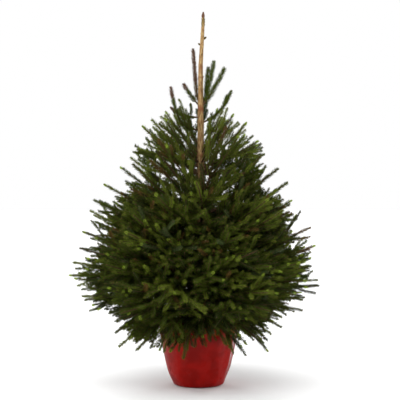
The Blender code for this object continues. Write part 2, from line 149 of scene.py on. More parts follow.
@dataclass
class MeshBuffer:
    """Points and faces of one piece, gathered as arrays and joined at the end."""

    points: list[np.ndarray] = field(default_factory=list)
    faces: list[np.ndarray] = field(default_factory=list)
    count: int = 0

    def add(self, points: np.ndarray, faces: np.ndarray) -> None:
        """Takes a part of the piece.

        Args:
            points: Its corners, one row each.
            faces: Rows of corner numbers, counted from this part's first point.
        """
        self.points.append(points)
        self.faces.append(faces + self.count)
        self.count += len(points)

    def triangles(self) -> int:
        """How many triangles the faces make."""
        return sum(len(faces) * (faces.shape[1] - 2) for faces in self.faces)

    def piece(self, name: str, material: bpy.types.Material, slot: str, smooth: bool) -> bpy.types.Object:
        """Makes the object, which rides on the plant's one body.

        Args:
            name: The piece's name.
            material: Its finish.
            slot: The record's material slot that the finish belongs to; not used.
            smooth: Whether its faces are shaded as one curved surface.

        Returns:
            The new object.
        """
        mesh = bpy.data.meshes.new(name)
        mesh.vertices.add(self.count)
        mesh.vertices.foreach_set("co", np.concatenate(self.points).astype(np.float32).ravel())
        sizes = np.concatenate([np.full(len(faces), faces.shape[1]) for faces in self.faces])
        mesh.loops.add(int(sizes.sum()))
        corners = np.concatenate([faces.ravel() for faces in self.faces]).astype(np.int32)
        mesh.loops.foreach_set("vertex_index", corners)
        mesh.polygons.add(len(sizes))
        starts = np.concatenate(([0], np.cumsum(sizes)[:-1])).astype(np.int32)
        mesh.polygons.foreach_set("loop_start", starts)
        mesh.polygons.foreach_set("use_smooth", np.full(len(sizes), smooth))
        mesh.update(calc_edges=True)
        mesh.materials.append(material)
        obj = bpy.data.objects.new(name, mesh)
        bpy.context.scene.collection.objects.link(obj)
        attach(obj, "root")
        log.info("%s: %d triangles", name, self.triangles())
        return obj


def ring_grid(rings: int, sides: int) -> np.ndarray:
    """Quads between rings of points that are stored one after another.

    Args:
        rings: How many rings there are.
        sides: How many points each has.

    Returns:
        One row of four corner numbers for each quad.
    """
    low = np.arange(rings - 1)[:, None] * sides + np.arange(sides)
    on = np.arange(rings - 1)[:, None] * sides + (np.arange(sides) + 1) % sides
    return np.stack((low, on, on + sides, low + sides), axis=-1).reshape(-1, 4)


# Finishes


# Numbers of a mix node's sockets when it mixes colours: the share, the two colours and the result.
SHARE, FIRST, SECOND, MIXED = 0, 6, 7, 2


def open_finish(name: str, settings: dict) -> tuple[bpy.types.Material, bpy.types.NodeTree, bpy.types.Node]:
    """Opens a material and sets its shader.

    Args:
        name: The material's name, which says what it is made of and its surface.
        settings: Values by the name of the shader's input.

    Returns:
        The material, its node tree and its shader.
    """
    made = bpy.data.materials.new(name)
    made.use_nodes = True
    shader = made.node_tree.nodes["Principled BSDF"]
    for key, value in settings.items():
        shader.inputs[key].default_value = value
    return made, made.node_tree, shader


class Shade(Enum):
    """Shades of needle, dealt out by spray: sRGB colour, share deep in the crown and share outside."""

    DEEP = ("#2b360b", 0.70, 0.24)
    OLIVE = ("#445112", 0.26, 0.48)
    LIGHT = ("#5f6c20", 0.02, 0.16)
    BLUE = ("#43502b", 0.02, 0.04)
    BRONZE = ("#5a481f", 0.01, 0.03)
    FRESH = ("#8aa236", 0.00, 0.00)
    RUSSET = ("#634a38", 0.00, 0.00)

    @property
    def colour(self) -> str:
        """The shade's sRGB colour."""
        return self.value[0]

    def share(self, outward: float, sunlit: float) -> float:
        """How many sprays take it at a share of the crown's reach: more dark sprays deep in the crown, as old
        needles are darker and as painted shade of the inner crown.

        Args:
            outward: The spray's share of the crown's reach.
            sunlit: How many times more sprays are light there.

        Returns:
            Its weight among the shades.
        """
        _, deep, outside = self.value
        # Darker shades deep in the crown: partly old needles, partly painted shade of the inner crown.
        share = deep + (outside - deep) * float(smooth_step(outward, 0.45, 0.75))
        # Painted light: a tier's multiplier deals more light and bronze sprays, and fewer deep ones, higher
        # up.
        return share * {Shade.LIGHT: sunlit, Shade.BRONZE: sunlit, Shade.DEEP: 1 / sunlit}.get(self, 1.0)


@dataclass(frozen=True)
class NeedleCuticle:
    """Spruce needle: leaf under a thin wax cuticle, as it grew.

    The eye sees a dull satin green, a little paler where a flank catches the light. The wax lies in
    patches some 3 mm long, drawn as a change of roughness. A frozen finish per shade of green.
    """

    shade: Shade
    wax_patch: float = 0.003

    def material(self) -> bpy.types.Material:
        """Makes the finish, with one plain base colour."""
        values = {"Base Color": linear(self.shade.colour), "IOR": 1.42, "Specular IOR Level": 0.18}
        made, tree, shader = open_finish(f"waxed_needle_{self.shade.name.lower()}", values)
        place = add_node(tree, "ShaderNodeTexCoord").outputs["Object"]
        patches = {"Scale": 1 / self.wax_patch, "Detail": 1.0}
        wax = add_node(tree, "ShaderNodeTexNoise", patches, {"Vector": place})
        satin = {"To Min": 0.45, "To Max": 0.7}
        rough = add_node(tree, "ShaderNodeMapRange", satin, {"Value": wax.outputs["Fac"]})
        tree.links.new(rough.outputs["Result"], shader.inputs["Roughness"])
        return made


@dataclass(frozen=True)
class TwigBark:
    """Young spruce bark: a thin, ridged, orange-brown skin, as it grew.

    The eye sees matt brown lines between the needles, ribbed by the pegs that needles sit on, which
    stand about 1.6 mm apart. The same skin, redder and finer, serves for the scales of the buds.
    """

    name: str = "twig_bark"
    colour: str = "#4a351e"
    peg_spacing: float = 0.0016

    def material(self) -> bpy.types.Material:
        """Makes the finish, with one plain base colour and the pegs as a bump."""
        values = {"Base Color": linear(self.colour), "Specular IOR Level": 0.3}
        made, tree, shader = open_finish(self.name, values)
        place = add_node(tree, "ShaderNodeTexCoord").outputs["Object"]
        pegs = add_node(tree, "ShaderNodeTexVoronoi", {"Scale": 1 / self.peg_spacing}, {"Vector": place})
        ribs = {"Strength": 0.7, "Distance": 0.0006, "invert": True}
        bump = add_node(tree, "ShaderNodeBump", ribs, {"Height": pegs.outputs["Distance"]})
        matt = {"To Min": 0.65, "To Max": 0.9}
        rough = add_node(tree, "ShaderNodeMapRange", matt, {"Value": pegs.outputs["Distance"]})
        tree.links.new(bump.outputs["Normal"], shader.inputs["Normal"])
        tree.links.new(rough.outputs["Result"], shader.inputs["Roughness"])
        return made


@dataclass(frozen=True)
class LeaderBark:
    """Bark of a spruce's trunk and leader: flaking papery scales on a tan skin, as it grew.

    The eye sees warm tan at the leader, redder at each year's whorl and browner and rougher down the
    trunk, in upright streaks. The scales are 2 to 5 mm wide and the streaks are 6 times as tall.
    """

    tan: str = "#b09a68"
    warm: str = "#8d6a42"
    shadow: str = "#5a4026"
    scar: str = "#6e3218"
    aged: str = "#8a6f5a"
    scale_width: float = 0.0035
    streak_length: float = 6.0
    # The bark is aged in full below the first height and young above the second.
    aged_below: float = 0.55
    young_above: float = 1.00
    # Height, half height and strength of each redder band where a whorl or a lost one stood.
    scars: tuple[tuple[float, float, float], ...] = (
        (1.185, 0.022, 0.40),
        (1.153, 0.005, 0.60),
        (1.034, 0.018, 0.75),
        (0.988, 0.008, 0.35),
        (0.860, 0.012, 0.30),
    )

    def material(self) -> bpy.types.Material:
        """Makes the finish, with its streaks, scars and scales worked out from object space."""
        made, tree, shader = open_finish("spruce_bark_flaking", {"Specular IOR Level": 0.25})
        place = add_node(tree, "ShaderNodeTexCoord").outputs["Object"]
        squeeze = {"Scale": (1.0, 1.0, 1 / self.streak_length)}
        tall = add_node(tree, "ShaderNodeMapping", squeeze, {"Vector": place}).outputs["Vector"]
        grain = {"Scale": 1 / self.scale_width, "Detail": 5.0, "Roughness": 0.65}
        streaks = add_node(tree, "ShaderNodeTexNoise", grain, {"Vector": tall}).outputs["Fac"]
        stops = ((0.34, self.shadow), (0.47, self.warm), (0.62, self.tan))
        skin = add_node(tree, "ShaderNodeValToRGB", links={"Fac": streaks}, stops=stops).outputs["Color"]
        height = add_node(tree, "ShaderNodeSeparateXYZ", links={"Vector": place}).outputs["Z"]
        colour = self.scarred(tree, self.older(tree, skin, height), height)
        tree.links.new(colour, shader.inputs["Base Color"])
        edges = {"Scale": 1 / self.scale_width, "feature": "DISTANCE_TO_EDGE"}
        scales = add_node(tree, "ShaderNodeTexVoronoi", edges, {"Vector": tall}).outputs["Distance"]
        flaked = {"Strength": 0.6, "Distance": 0.0008}
        bump = add_node(tree, "ShaderNodeBump", flaked, {"Height": scales})
        tree.links.new(bump.outputs["Normal"], shader.inputs["Normal"])
        rough = add_node(tree, "ShaderNodeMapRange", {"To Min": 0.6, "To Max": 0.88}, {"Value": streaks})
        tree.links.new(rough.outputs["Result"], shader.inputs["Roughness"])
        return made

    def older(self, tree: bpy.types.NodeTree, skin: bpy.types.NodeSocket,
              height: bpy.types.NodeSocket) -> bpy.types.NodeSocket:
        """Browns the skin down the trunk.

        Args:
            tree: The finish's node tree.
            skin: Its colours so far.
            height: Height above the ground.

        Returns:
            The colours.
        """
        ages = {"From Min": self.aged_below, "From Max": self.young_above, "To Min": 0.90, "To Max": 0.0}
        age = add_node(tree, "ShaderNodeMapRange", ages, {"Value": height}).outputs["Result"]
        browned = {"data_type": "RGBA", "blend_type": "MULTIPLY", SECOND: linear(self.aged)}
        return add_node(tree, "ShaderNodeMix", browned, {SHARE: age, FIRST: skin}).outputs[MIXED]

    def scarred(self, tree: bpy.types.NodeTree, colour: bpy.types.NodeSocket,
                height: bpy.types.NodeSocket) -> bpy.types.NodeSocket:
        """Reddens the skin at each scar.

        Args:
            tree: The finish's node tree.
            colour: Its colours so far.
            height: Height above the ground.

        Returns:
            The colours.
        """
        for middle, half, strength in self.scars:
            off = add_node(tree, "ShaderNodeMath", {"operation": "SUBTRACT", 1: middle}, {0: height})
            far = add_node(tree, "ShaderNodeMath", {"operation": "ABSOLUTE"}, {0: off.outputs[0]})
            band = {"From Min": 0.25 * half, "From Max": half, "To Min": strength, "To Max": 0.0}
            near = add_node(tree, "ShaderNodeMapRange", band, {"Value": far.outputs[0]}).outputs["Result"]
            reddened = {"data_type": "RGBA", SECOND: linear(self.scar)}
            colour = add_node(tree, "ShaderNodeMix", reddened, {SHARE: near, FIRST: colour}).outputs[MIXED]
        return colour


@dataclass(frozen=True)
class PotPolypropylene:
    """Polypropylene, thin-wall moulded and drawn into soft pleats.

    The eye sees a deep glossy red with long upright highlights where a pleat turns, mottled slightly by
    flow marks about 60 mm across and dulled by handling in patches about 45 mm across.
    """

    red: str = "#930f09"
    deep: str = "#7c0904"
    flow_size: float = 0.060
    handled_size: float = 0.045

    def material(self) -> bpy.types.Material:
        """Makes the finish, with its flow marks and handling worked out from object space."""
        values = {"IOR": 1.49, "Specular IOR Level": 0.09}
        made, tree, shader = open_finish("polypropylene_moulded_red", values)
        place = add_node(tree, "ShaderNodeTexCoord").outputs["Object"]
        marks = {"Scale": 1 / self.flow_size, "Detail": 2.0, "Distortion": 0.6}
        flow = add_node(tree, "ShaderNodeTexNoise", marks, {"Vector": place}).outputs["Fac"]
        stops = ((0.38, self.deep), (0.64, self.red))
        mottle = add_node(tree, "ShaderNodeValToRGB", links={"Fac": flow}, stops=stops)
        tree.links.new(mottle.outputs["Color"], shader.inputs["Base Color"])
        patches = {"Scale": 1 / self.handled_size, "Detail": 2.0}
        handled = add_node(tree, "ShaderNodeTexNoise", patches, {"Vector": place}).outputs["Fac"]
        rough = add_node(tree, "ShaderNodeMapRange", {"To Min": 0.20, "To Max": 0.34}, {"Value": handled})
        tree.links.new(rough.outputs["Result"], shader.inputs["Roughness"])
        bump = add_node(tree, "ShaderNodeBump", {"Strength": 0.10, "Distance": 0.0008}, {"Height": flow})
        tree.links.new(bump.outputs["Normal"], shader.inputs["Normal"])
        return made


@dataclass(frozen=True)
class BarkCompost:
    """Composted bark and peat, milled and settled by watering.

    The eye sees matt crumbs of 2 to 6 mm in blackish to fawn browns.
    """

    crumb: float = 0.004
    peat: str = "#1a110b"
    fawn: str = "#5c432b"

    def material(self) -> bpy.types.Material:
        """Makes the finish, with a brown for each crumb worked out from object space."""
        values = {"Roughness": 0.95, "Specular IOR Level": 0.2}
        made, tree, shader = open_finish("compost_milled_bark", values)
        place = add_node(tree, "ShaderNodeTexCoord").outputs["Object"]
        crumbs = add_node(tree, "ShaderNodeTexVoronoi", {"Scale": 1 / self.crumb}, {"Vector": place})
        source = {"Fac": crumbs.outputs["Color"]}
        stops = ((0.0, self.peat), (1.0, self.fawn))
        browns = add_node(tree, "ShaderNodeValToRGB", links=source, stops=stops)
        tree.links.new(browns.outputs["Color"], shader.inputs["Base Color"])
        crumbly = {"Strength": 0.9, "Distance": 0.0015, "invert": True}
        bump = add_node(tree, "ShaderNodeBump", crumbly, {"Height": crumbs.outputs["Distance"]})
        tree.links.new(bump.outputs["Normal"], shader.inputs["Normal"])
        return made


@dataclass(frozen=True)
class OpalAcrylic:
    """Opal acrylic floor, cast and etched matt, lit a little from below so that shadows on it stay pale."""

    white: str = "#e4e4e4"
    glow: float = 0.03

    def material(self) -> bpy.types.Material:
        """Makes the finish."""
        values = {"Base Color": linear(self.white), "Roughness": 0.85, "Specular IOR Level": 0.1}
        values |= {"Emission Color": linear("#ffffff"), "Emission Strength": self.glow}
        made, _, _ = open_finish("acrylic_etched_opal", values)
        return made


# The trunk


@dataclass
class Trunk:
    """The trunk from the compost to the terminal bud, with the same taper, bow and flare as its solid."""

    foot_radius: float = 0.0225
    tip_radius: float = 0.0050
    taper: float = 0.97
    bow: float = 0.0080
    leader_lean: float = 0.0095
    flare_extra: float = 0.0085
    flare_height: float = 0.030
    flare_power: float = 1.6
    flare_lobes: int = 5
    lobe_depth: float = 0.35
    bud_length: float = 0.016
    bud_radius: float = 0.0066
    sides: int = 36
    ring_spacing: float = 0.0028
    joints: tuple[float, ...] = (0.34, 0.50, 0.66, 0.80, 0.95, 1.10, 1.20, 1.28, 1.36)
    # Heights of the collars where a whorl leaves the trunk, their half height and their share of its radius.
    collars: tuple[float, ...] = (0.588, 0.682, 0.788, 0.860, 0.985, 1.052, 1.153)
    collar_half: float = 0.007
    collar_swell: float = 0.10
    # Depth of the bark's ribs on the leader, and how much deeper they are on the old trunk.
    young_ribs: float = 0.00025
    old_ribs: float = 0.0009
    flakes: float = 0.00035
    # The pegs of lost needles stand in spirals on the leader.
    peg_spirals: int = 8
    peg_spacing: float = 0.0105
    peg_height: float = 0.0007
    heights: np.ndarray = field(init=False)
    radii: np.ndarray = field(init=False)
    places: np.ndarray = field(init=False)

    def __post_init__(self) -> None:
        """Works out the stations between which the solid runs straight."""
        foot = SOIL_TOP + TOUCH_GAP
        lower = (foot, foot + 0.3 * self.flare_height, foot + self.flare_height)
        self.heights = np.array((*lower, *self.joints, self.top))
        left = (TOTAL_HEIGHT - self.heights) / (TOTAL_HEIGHT - SOIL_TOP)
        self.radii = self.tip_radius + (self.foot_radius - self.tip_radius) * left**self.taper
        lean = self.leader_lean * smooth_step(self.heights, 1.20, 1.36)
        self.places = self.bow * smooth_step(self.heights, SOIL_TOP, 0.80) + lean

    @property
    def top(self) -> float:
        """Height where the wood ends under the terminal bud."""
        return TOTAL_HEIGHT - self.bud_length - self.bud_radius

    def centre(self, z: float) -> np.ndarray:
        """The middle of the trunk at a height."""
        return np.array((float(np.interp(z, self.heights, self.places)), 0.0, z))

    def radius(self, z: np.ndarray | float) -> np.ndarray:
        """The trunk's radius at a height, without its flare."""
        return np.interp(z, self.heights, self.radii)

    def relief(self, angle: np.ndarray, z: np.ndarray) -> np.ndarray:
        """How far the bark's surface lies from the trunk's middle.

        Args:
            angle: Azimuth of each point, in radians.
            z: Height of each point.

        Returns:
            The taper with its flare, ribs, flakes, collars and pegs.
        """
        radius = self.radius(z)
        near_foot = np.clip(1 - (z - self.heights[0]) / self.flare_height, 0, 1)
        lobes = 1 - self.lobe_depth + self.lobe_depth * np.cos(self.flare_lobes * angle)
        reach = radius + self.flare_extra * near_foot**self.flare_power * lobes
        old = smooth_step(1.25 - z, 0.0, 0.9)
        reach = reach + (self.young_ribs + self.old_ribs * old) * ripple(angle, z, 14, SEED, 0.010)
        reach += self.flakes * ripple(3 * angle, z, 10, SEED + 1, 0.004)
        for collar in self.collars:
            swell = self.collar_swell * radius * np.exp(-(((z - collar) / self.collar_half) ** 2))
            reach += swell * (1 + 0.4 * np.cos(4 * angle + 9 * collar))
        row = z / self.peg_spacing
        turn = angle * self.peg_spirals / math.tau + row
        peg = np.exp(-((((turn % 1) - 0.5) / 0.16) ** 2)) * np.exp(-(((row % 1) - 0.5) / 0.22) ** 2)
        return reach + self.peg_height * peg * smooth_step(z, 0.85, 1.0)

    def build(self, bark: bpy.types.Material) -> bpy.types.Object:
        """Makes the bark as a fine mesh: ribs, flakes, whorl collars and the pegs of lost needles.

        Args:
            bark: The bark's finish.

        Returns:
            The trunk.
        """
        count = int((self.top - self.heights[0]) / self.ring_spacing)
        z = np.linspace(self.heights[0], self.top, count)[:, None]
        angle = full_turn(self.sides)[None, :]
        reach = self.relief(angle, z)
        x = np.interp(z, self.heights, self.places) + reach * np.cos(angle)
        points = np.stack((x, reach * np.sin(angle), z + 0 * angle), axis=-1).reshape(-1, 3)
        buffer = MeshBuffer()
        buffer.add(points, ring_grid(count, self.sides))
        last = points[-self.sides :]
        cap = np.concatenate((last, [last.mean(0) + (0, 0, 0.001)]))
        fan = [(i, (i + 1) % self.sides, self.sides) for i in range(self.sides)]
        buffer.add(cap, np.array(fan))
        trunk = buffer.piece("trunk_bark", bark, "trunk_bark", True)
        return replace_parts(trunk, "trunk")


# The pot and its compost


@dataclass
class Pot:
    """The thin red pot, with the profile and pleats of its solid and the creases of a drawn wall."""

    foot_radius: float = 0.090
    rim_radius: float = 0.150
    bulge: float = 0.70
    wall: float = 0.0028
    pleat_depth: float = 0.0016
    pleats: int = 5
    first_pleat: float = 0.8
    sides: int = 180
    levels: int = 64
    # Heights between which the wall carries its relief: above the foot, and below the rim's top.
    wall_above: float = 0.004
    wall_below: float = 0.006
    # Azimuth in degrees, depth, half width in radians and slant of each crease in the wall.
    creases: tuple[tuple[float, float, float, float], ...] = (
        (-56, 0.0030, 0.30, -1.6),
        (-84, 0.0026, 0.20, 1.4),
        (-106, 0.0032, 0.26, -0.5),
        (-128, 0.0030, 0.24, 0.4),
        (-170, 0.0046, 0.32, 0.0),
        (22, 0.0026, 0.26, 0.8),
        (62, 0.0028, 0.28, -0.7),
        (104, 0.0030, 0.26, 0.6),
        (146, 0.0026, 0.28, 0.5),
    )
    fold_power: float = 1.1
    # Azimuth in degrees, half width in radians and depth of each flat that the wall is drawn to.
    flats: tuple[tuple[float, float, float], ...] = ((-14.5, 0.21, 0.0044),)
    # How fast the bulge beside a flat fades, as a share of its depth for each half width further out.
    flat_fade: float = 0.8
    # Height, as a share of the pot's, and depth of the puckers at the foot.
    pucker_at: float = 0.07
    puckers: float = 0.0007
    unevenness: float = 0.0004
    # Distance in from the foot's edge and height of each ring of the underside.
    underside: tuple[tuple[float, float], ...] = ((0.089, 0.0), (0.014, 0.0), (0.006, 0.0), (0.0025, 0.0012))
    # Distance out from the rim and up from its top of each ring of its rolled hem.
    hem: tuple[tuple[float, float], ...] = (
        (0.0016, -0.0052),
        (0.0022, -0.0034),
        (0.0018, -0.0014),
        (0.0006, 0.0),
        (-0.0010, -0.0004),
        (-0.0028, -0.0016),
    )
    # Rings of the inner wall, from this far under the rim's top to this far under the compost.
    inner_rings: int = 12
    inner_below: float = 0.008
    inner_sunk: float = 0.02

    def radius(self, z: np.ndarray | float) -> np.ndarray:
        """Outer radius of the wall at a height, as in the solid."""
        share = np.clip(z / POT_HEIGHT, 0.0, 1.0)
        return self.foot_radius + (self.rim_radius - self.foot_radius) * share**self.bulge

    def relief(self, angle: np.ndarray, z: np.ndarray) -> np.ndarray:
        """How far the wall stands in or out.

        Args:
            angle: Azimuth of each point, in radians.
            z: Height of each point.

        Returns:
            The sum of the pleats, the creases, the flats, the puckers at the foot and an unevenness.
        """
        share = z / POT_HEIGHT
        held = np.sin(math.pi * np.clip(share, 0, 1))
        under_rim = smooth_step(1.02 - share, 0.0, 0.3)
        out = self.pleat_depth * held * np.cos(self.pleats * angle + self.first_pleat)
        for azimuth, depth, width, slant in self.creases:
            middle = math.radians(azimuth) + slant * 0.25 * (share - 0.5)
            off = self.off(angle, middle) / width
            fold = np.clip(1 - off, 0, 1) ** self.fold_power
            out += depth * fold * smooth_step(share, 0.02, 0.25) * under_rim
        for azimuth, width, depth in self.flats:
            off = self.off(angle, math.radians(azimuth)) / width
            edge = np.where(off < 1, off**2, np.clip(1 - self.flat_fade * (off - 1), 0, 1))
            out += depth * edge * smooth_step(share, 0.12, 0.32) * under_rim
        pucker = np.exp(-(((share - self.pucker_at) / self.pucker_at) ** 2))
        out += self.puckers * pucker * ripple(2 * angle, z, 8, SEED + 4, 0.03)
        return out + self.unevenness * held * ripple(angle, z, 9, SEED + 5, 0.05)

    @staticmethod
    def off(angle: np.ndarray, middle: np.ndarray | float) -> np.ndarray:
        """How far azimuths lie from another one, the shorter way round, in radians."""
        return np.abs((angle - middle + math.pi) % math.tau - math.pi)

    def build(self, film: bpy.types.Material) -> bpy.types.Object:
        """Makes the wall outside and inside, the rolled rim and the underside.

        Args:
            film: The pot's finish.

        Returns:
            The pot.
        """
        angle = full_turn(self.sides)[None, :]
        rise = np.linspace(self.wall_above, POT_HEIGHT - self.wall_below, self.levels)[:, None]
        outer = self.radius(rise) + self.relief(angle, rise)
        points = [self.ring(self.foot_radius - inset, z, angle) for inset, z in self.underside]
        points += [self.ring(reach, z, angle) for reach, z in zip(outer, rise[:, 0])]
        points += [self.ring(self.rim_radius + out, POT_HEIGHT + lift, angle) for out, lift in self.hem]
        for z in np.linspace(POT_HEIGHT - self.inner_below, SOIL_TOP - self.inner_sunk, self.inner_rings):
            relief = self.relief(angle, np.array([[z]]))[0]
            points.append(self.ring(self.radius(z) - self.wall + relief, z, angle))
        buffer = MeshBuffer()
        buffer.add(np.concatenate(points), ring_grid(len(points), self.sides))
        pot = buffer.piece("pot_shell", film, "pot", True)
        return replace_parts(pot, "pot")

    @staticmethod
    def ring(radius: np.ndarray | float, z: float, angle: np.ndarray) -> np.ndarray:
        """Points of one ring of the wall.

        Args:
            radius: The ring's radius, or one for each point.
            z: Its height.
            angle: Azimuth of each point, in radians, as one row.

        Returns:
            The points, one row each.
        """
        reach = np.broadcast_to(radius, angle.shape[1:])
        turn = angle[0]
        return np.stack((reach * np.cos(turn), reach * np.sin(turn), np.full_like(turn, z)), axis=-1)


@dataclass
class Compost:
    """The compost's surface, a low mound of crumbs with loose bits of bark on it."""

    pot: Pot
    edge_drop: float = 0.007
    flat_radius: float = 0.050
    rings: int = 40
    sides: int = 110
    # How far the surface lies under the solid's, and how much its crumbs stand in and out.
    sunk: float = 0.0015
    crumbs: float = 0.0012
    # Clearance from the wall, and how far inside the mound's edge the bits of bark stay.
    clearance: float = 0.004
    chip_margin: float = 0.008
    chips: int = 300
    chip_length: tuple[float, float] = (0.003, 0.008)
    chip_width: tuple[float, float] = (0.002, 0.004)
    chip_thickness: tuple[float, float] = (0.0005, 0.0012)
    # Corners of a bit of bark, as shares of its half length and half width.
    chip_outline: tuple[tuple[float, float], ...] = ((-1, -0.7), (0.9, -1), (1, 0.8), (-0.8, 1))

    def height(self, radius: np.ndarray | float) -> np.ndarray:
        """The mound's height at a distance from the middle."""
        fall = np.clip((radius - self.flat_radius) / (self.pot.rim_radius - self.flat_radius), 0, 1)
        return SOIL_TOP - self.edge_drop * fall

    def build(self, finish: bpy.types.Material) -> bpy.types.Object:
        """Makes the mound and the bits of bark that lie on it.

        Args:
            finish: The compost's finish.

        Returns:
            The compost.
        """
        rng = np.random.default_rng(SEED + 6)
        edge = float(self.pot.radius(SOIL_TOP)) - self.pot.wall - self.clearance
        radius = np.linspace(0.002, edge, self.rings)[:, None]
        angle = full_turn(self.sides)[None, :]
        crumbs = rng.uniform(-self.crumbs, self.crumbs, (self.rings, self.sides))
        z = self.height(radius) - self.sunk + crumbs
        points = np.stack((radius * np.cos(angle), radius * np.sin(angle), z), axis=-1).reshape(-1, 3)
        buffer = MeshBuffer()
        buffer.add(points, ring_grid(self.rings, self.sides))
        for _ in range(self.chips):
            self.add_chip(buffer, edge - self.chip_margin, rng)
        soil = buffer.piece("compost", finish, "soil", False)
        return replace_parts(soil, "soil")

    def add_chip(self, buffer: MeshBuffer, edge: float, rng: np.random.Generator) -> None:
        """Lays one bit of bark on the mound.

        Args:
            buffer: The piece that takes it.
            edge: How far from the middle a chip may lie.
            rng: Source of chance.
        """
        radius, turn = edge * math.sqrt(rng.uniform(0.08, 1)), rng.uniform(0, math.tau)
        middle = np.array((radius * math.cos(turn), radius * math.sin(turn), float(self.height(radius))))
        sizes = (self.chip_length, self.chip_width, self.chip_thickness)
        long, wide, thick = (rng.uniform(*size) for size in sizes)
        yaw = rng.uniform(0, math.tau)
        along = np.array((math.cos(yaw), math.sin(yaw), rng.uniform(-0.2, 0.2)))
        across = np.array((-math.sin(yaw), math.cos(yaw), rng.uniform(-0.2, 0.2)))
        low = [middle + a * long / 2 * along + b * wide / 2 * across for a, b in self.chip_outline]
        high = [point + (0, 0, thick) for point in low]
        faces = np.array([(3, 2, 1, 0), (4, 5, 6, 7), (0, 1, 5, 4), (1, 2, 6, 5), (2, 3, 7, 6), (3, 0, 4, 7)])
        buffer.add(np.array(low + high), faces)


# The rule that the plant grows by


@dataclass
class Limb:
    """A bough or twig: its centreline, its thickness at both ends and how it bears needles."""

    points: np.ndarray
    thick: float
    thin: float
    bare: float = 0.0
    shade: Shade = Shade.OLIVE
    fresh: bool = False
    places: np.ndarray = field(init=False)
    length: float = field(init=False)

    def __post_init__(self) -> None:
        """Measures how far along each point lies."""
        steps = np.linalg.norm(np.diff(self.points, axis=0), axis=1)
        self.places = np.concatenate(([0.0], np.cumsum(steps)))
        self.length = float(self.places[-1])

    def at(self, place: np.ndarray | float) -> np.ndarray:
        """Points on the centreline at distances from the foot."""
        return np.stack([np.interp(place, self.places, self.points[:, k]) for k in range(3)], axis=-1)

    def heading(self, place: np.ndarray | float) -> np.ndarray:
        """Directions of growth at distances from the foot."""
        reach = 0.004
        return unit(self.at(np.minimum(place + reach, self.length)) - self.at(np.maximum(place - reach, 0.0)))

    def radius(self, place: np.ndarray | float) -> np.ndarray:
        """Radius at distances from the foot."""
        return np.interp(place, (0.0, self.length), (self.thick, self.thin))


def frames(ahead: np.ndarray) -> tuple[np.ndarray, np.ndarray]:
    """Directions to the side of a heading and above it.

    Args:
        ahead: Headings, one row each.

    Returns:
        The level sideways directions and the directions above.
    """
    side = unit(np.cross(ahead, UP) + 1e-9)
    return side, unit(np.cross(side, ahead))


@dataclass(frozen=True)
class Whorl:
    """A whorl of boughs, in the solids' own numbers. Angles are in degrees."""

    name: str
    root: float
    count: int
    first: float
    pitch: float
    reach: float
    tip: float
    thick: float


@dataclass(frozen=True)
class YoungShoot:
    """A shoot of the two young whorls under the leader, in the solids' own numbers."""

    name: str
    root: float
    azimuth: float
    pitch: float
    reach: float
    tip: float
    shade: Shade
    # The share of its length that has browned, from the tip, and how long its needles are.
    brown_tip: float
    needle: float
    # The share of the way along it, the side, the length and the angle of each shoot that it bears.
    sides: tuple[tuple[float, int, float, float], ...] = ()
    rise: int = 2


@dataclass(frozen=True)
class NeedleSize:
    """Needles on a stretch of twig: length, width, how many a metre, tilt from it and how far combed up.

    A real needle is 12 to 16 mm long and about 1.2 mm wide. The width is over life, as they are fewer.
    """

    length: float = 0.0126
    width: float = 0.0031
    per_metre: float = 1250
    tilt: float = math.radians(44)
    combed: float = 0.22


class Tier(Enum):
    """Parts of the crown whose sprays are joined: the whorls of each, and the habit of its twigs.

    The habit is the angle in degrees at which a twig leaves its limb, how long a side shoot of the last
    year is, how far apart the short shoots between the year's joints stand, how often twigs fork on, the
    share of the crown's reach that the lesser twigs keep to, so that only leading tips stand out, how many
    times more of its sprays are light green as painted light, most at the top, and the share of the
    needles that is left next to the trunk.
    """

    # The seventh number is painted light: more light-green sprays and fewer deep ones where more light falls.
    LOW = (("foot", "skirt"), 41, 0.072, 0.050, 3, 0.85, 1.1, 0.32)
    BROAD = (("broad", "flank"), 40, 0.086, 0.054, 3, 0.82, 1.4, 0.30)
    MIDDLE = (("waist", "shoulder", "neck"), 37, 0.096, 0.064, 3, 0.80, 2.2, 0.46)
    HIGH = (("crown", "leader"), 34, 0.090, 0.150, 1, 0.88, 8.0, 0.85)

    @property
    def whorls(self) -> tuple[str, ...]:
        """Names of the whorls in this part."""
        return self.value[0]

    @property
    def spread(self) -> float:
        """The angle between a twig and its limb, in radians."""
        return math.radians(self.value[1])

    @property
    def shoot(self) -> float:
        """Length of a side shoot at the tip of its limb."""
        return self.value[2]

    @property
    def filling(self) -> float:
        """Spacing of the short shoots between the joints."""
        return self.value[3]

    @property
    def forks(self) -> int:
        """The highest order of twig that still branches."""
        return self.value[4]

    @property
    def inner(self) -> float:
        """Share of the crown's reach that the lesser twigs keep to."""
        return self.value[5]

    @property
    def sunlit(self) -> float:
        """How many times more of its sprays are light green, and fewer deep, as painted light on this part.
        """
        return self.value[6]

    @property
    def kept(self) -> float:
        """Share of the needles that are still there next to the trunk."""
        return self.value[7]


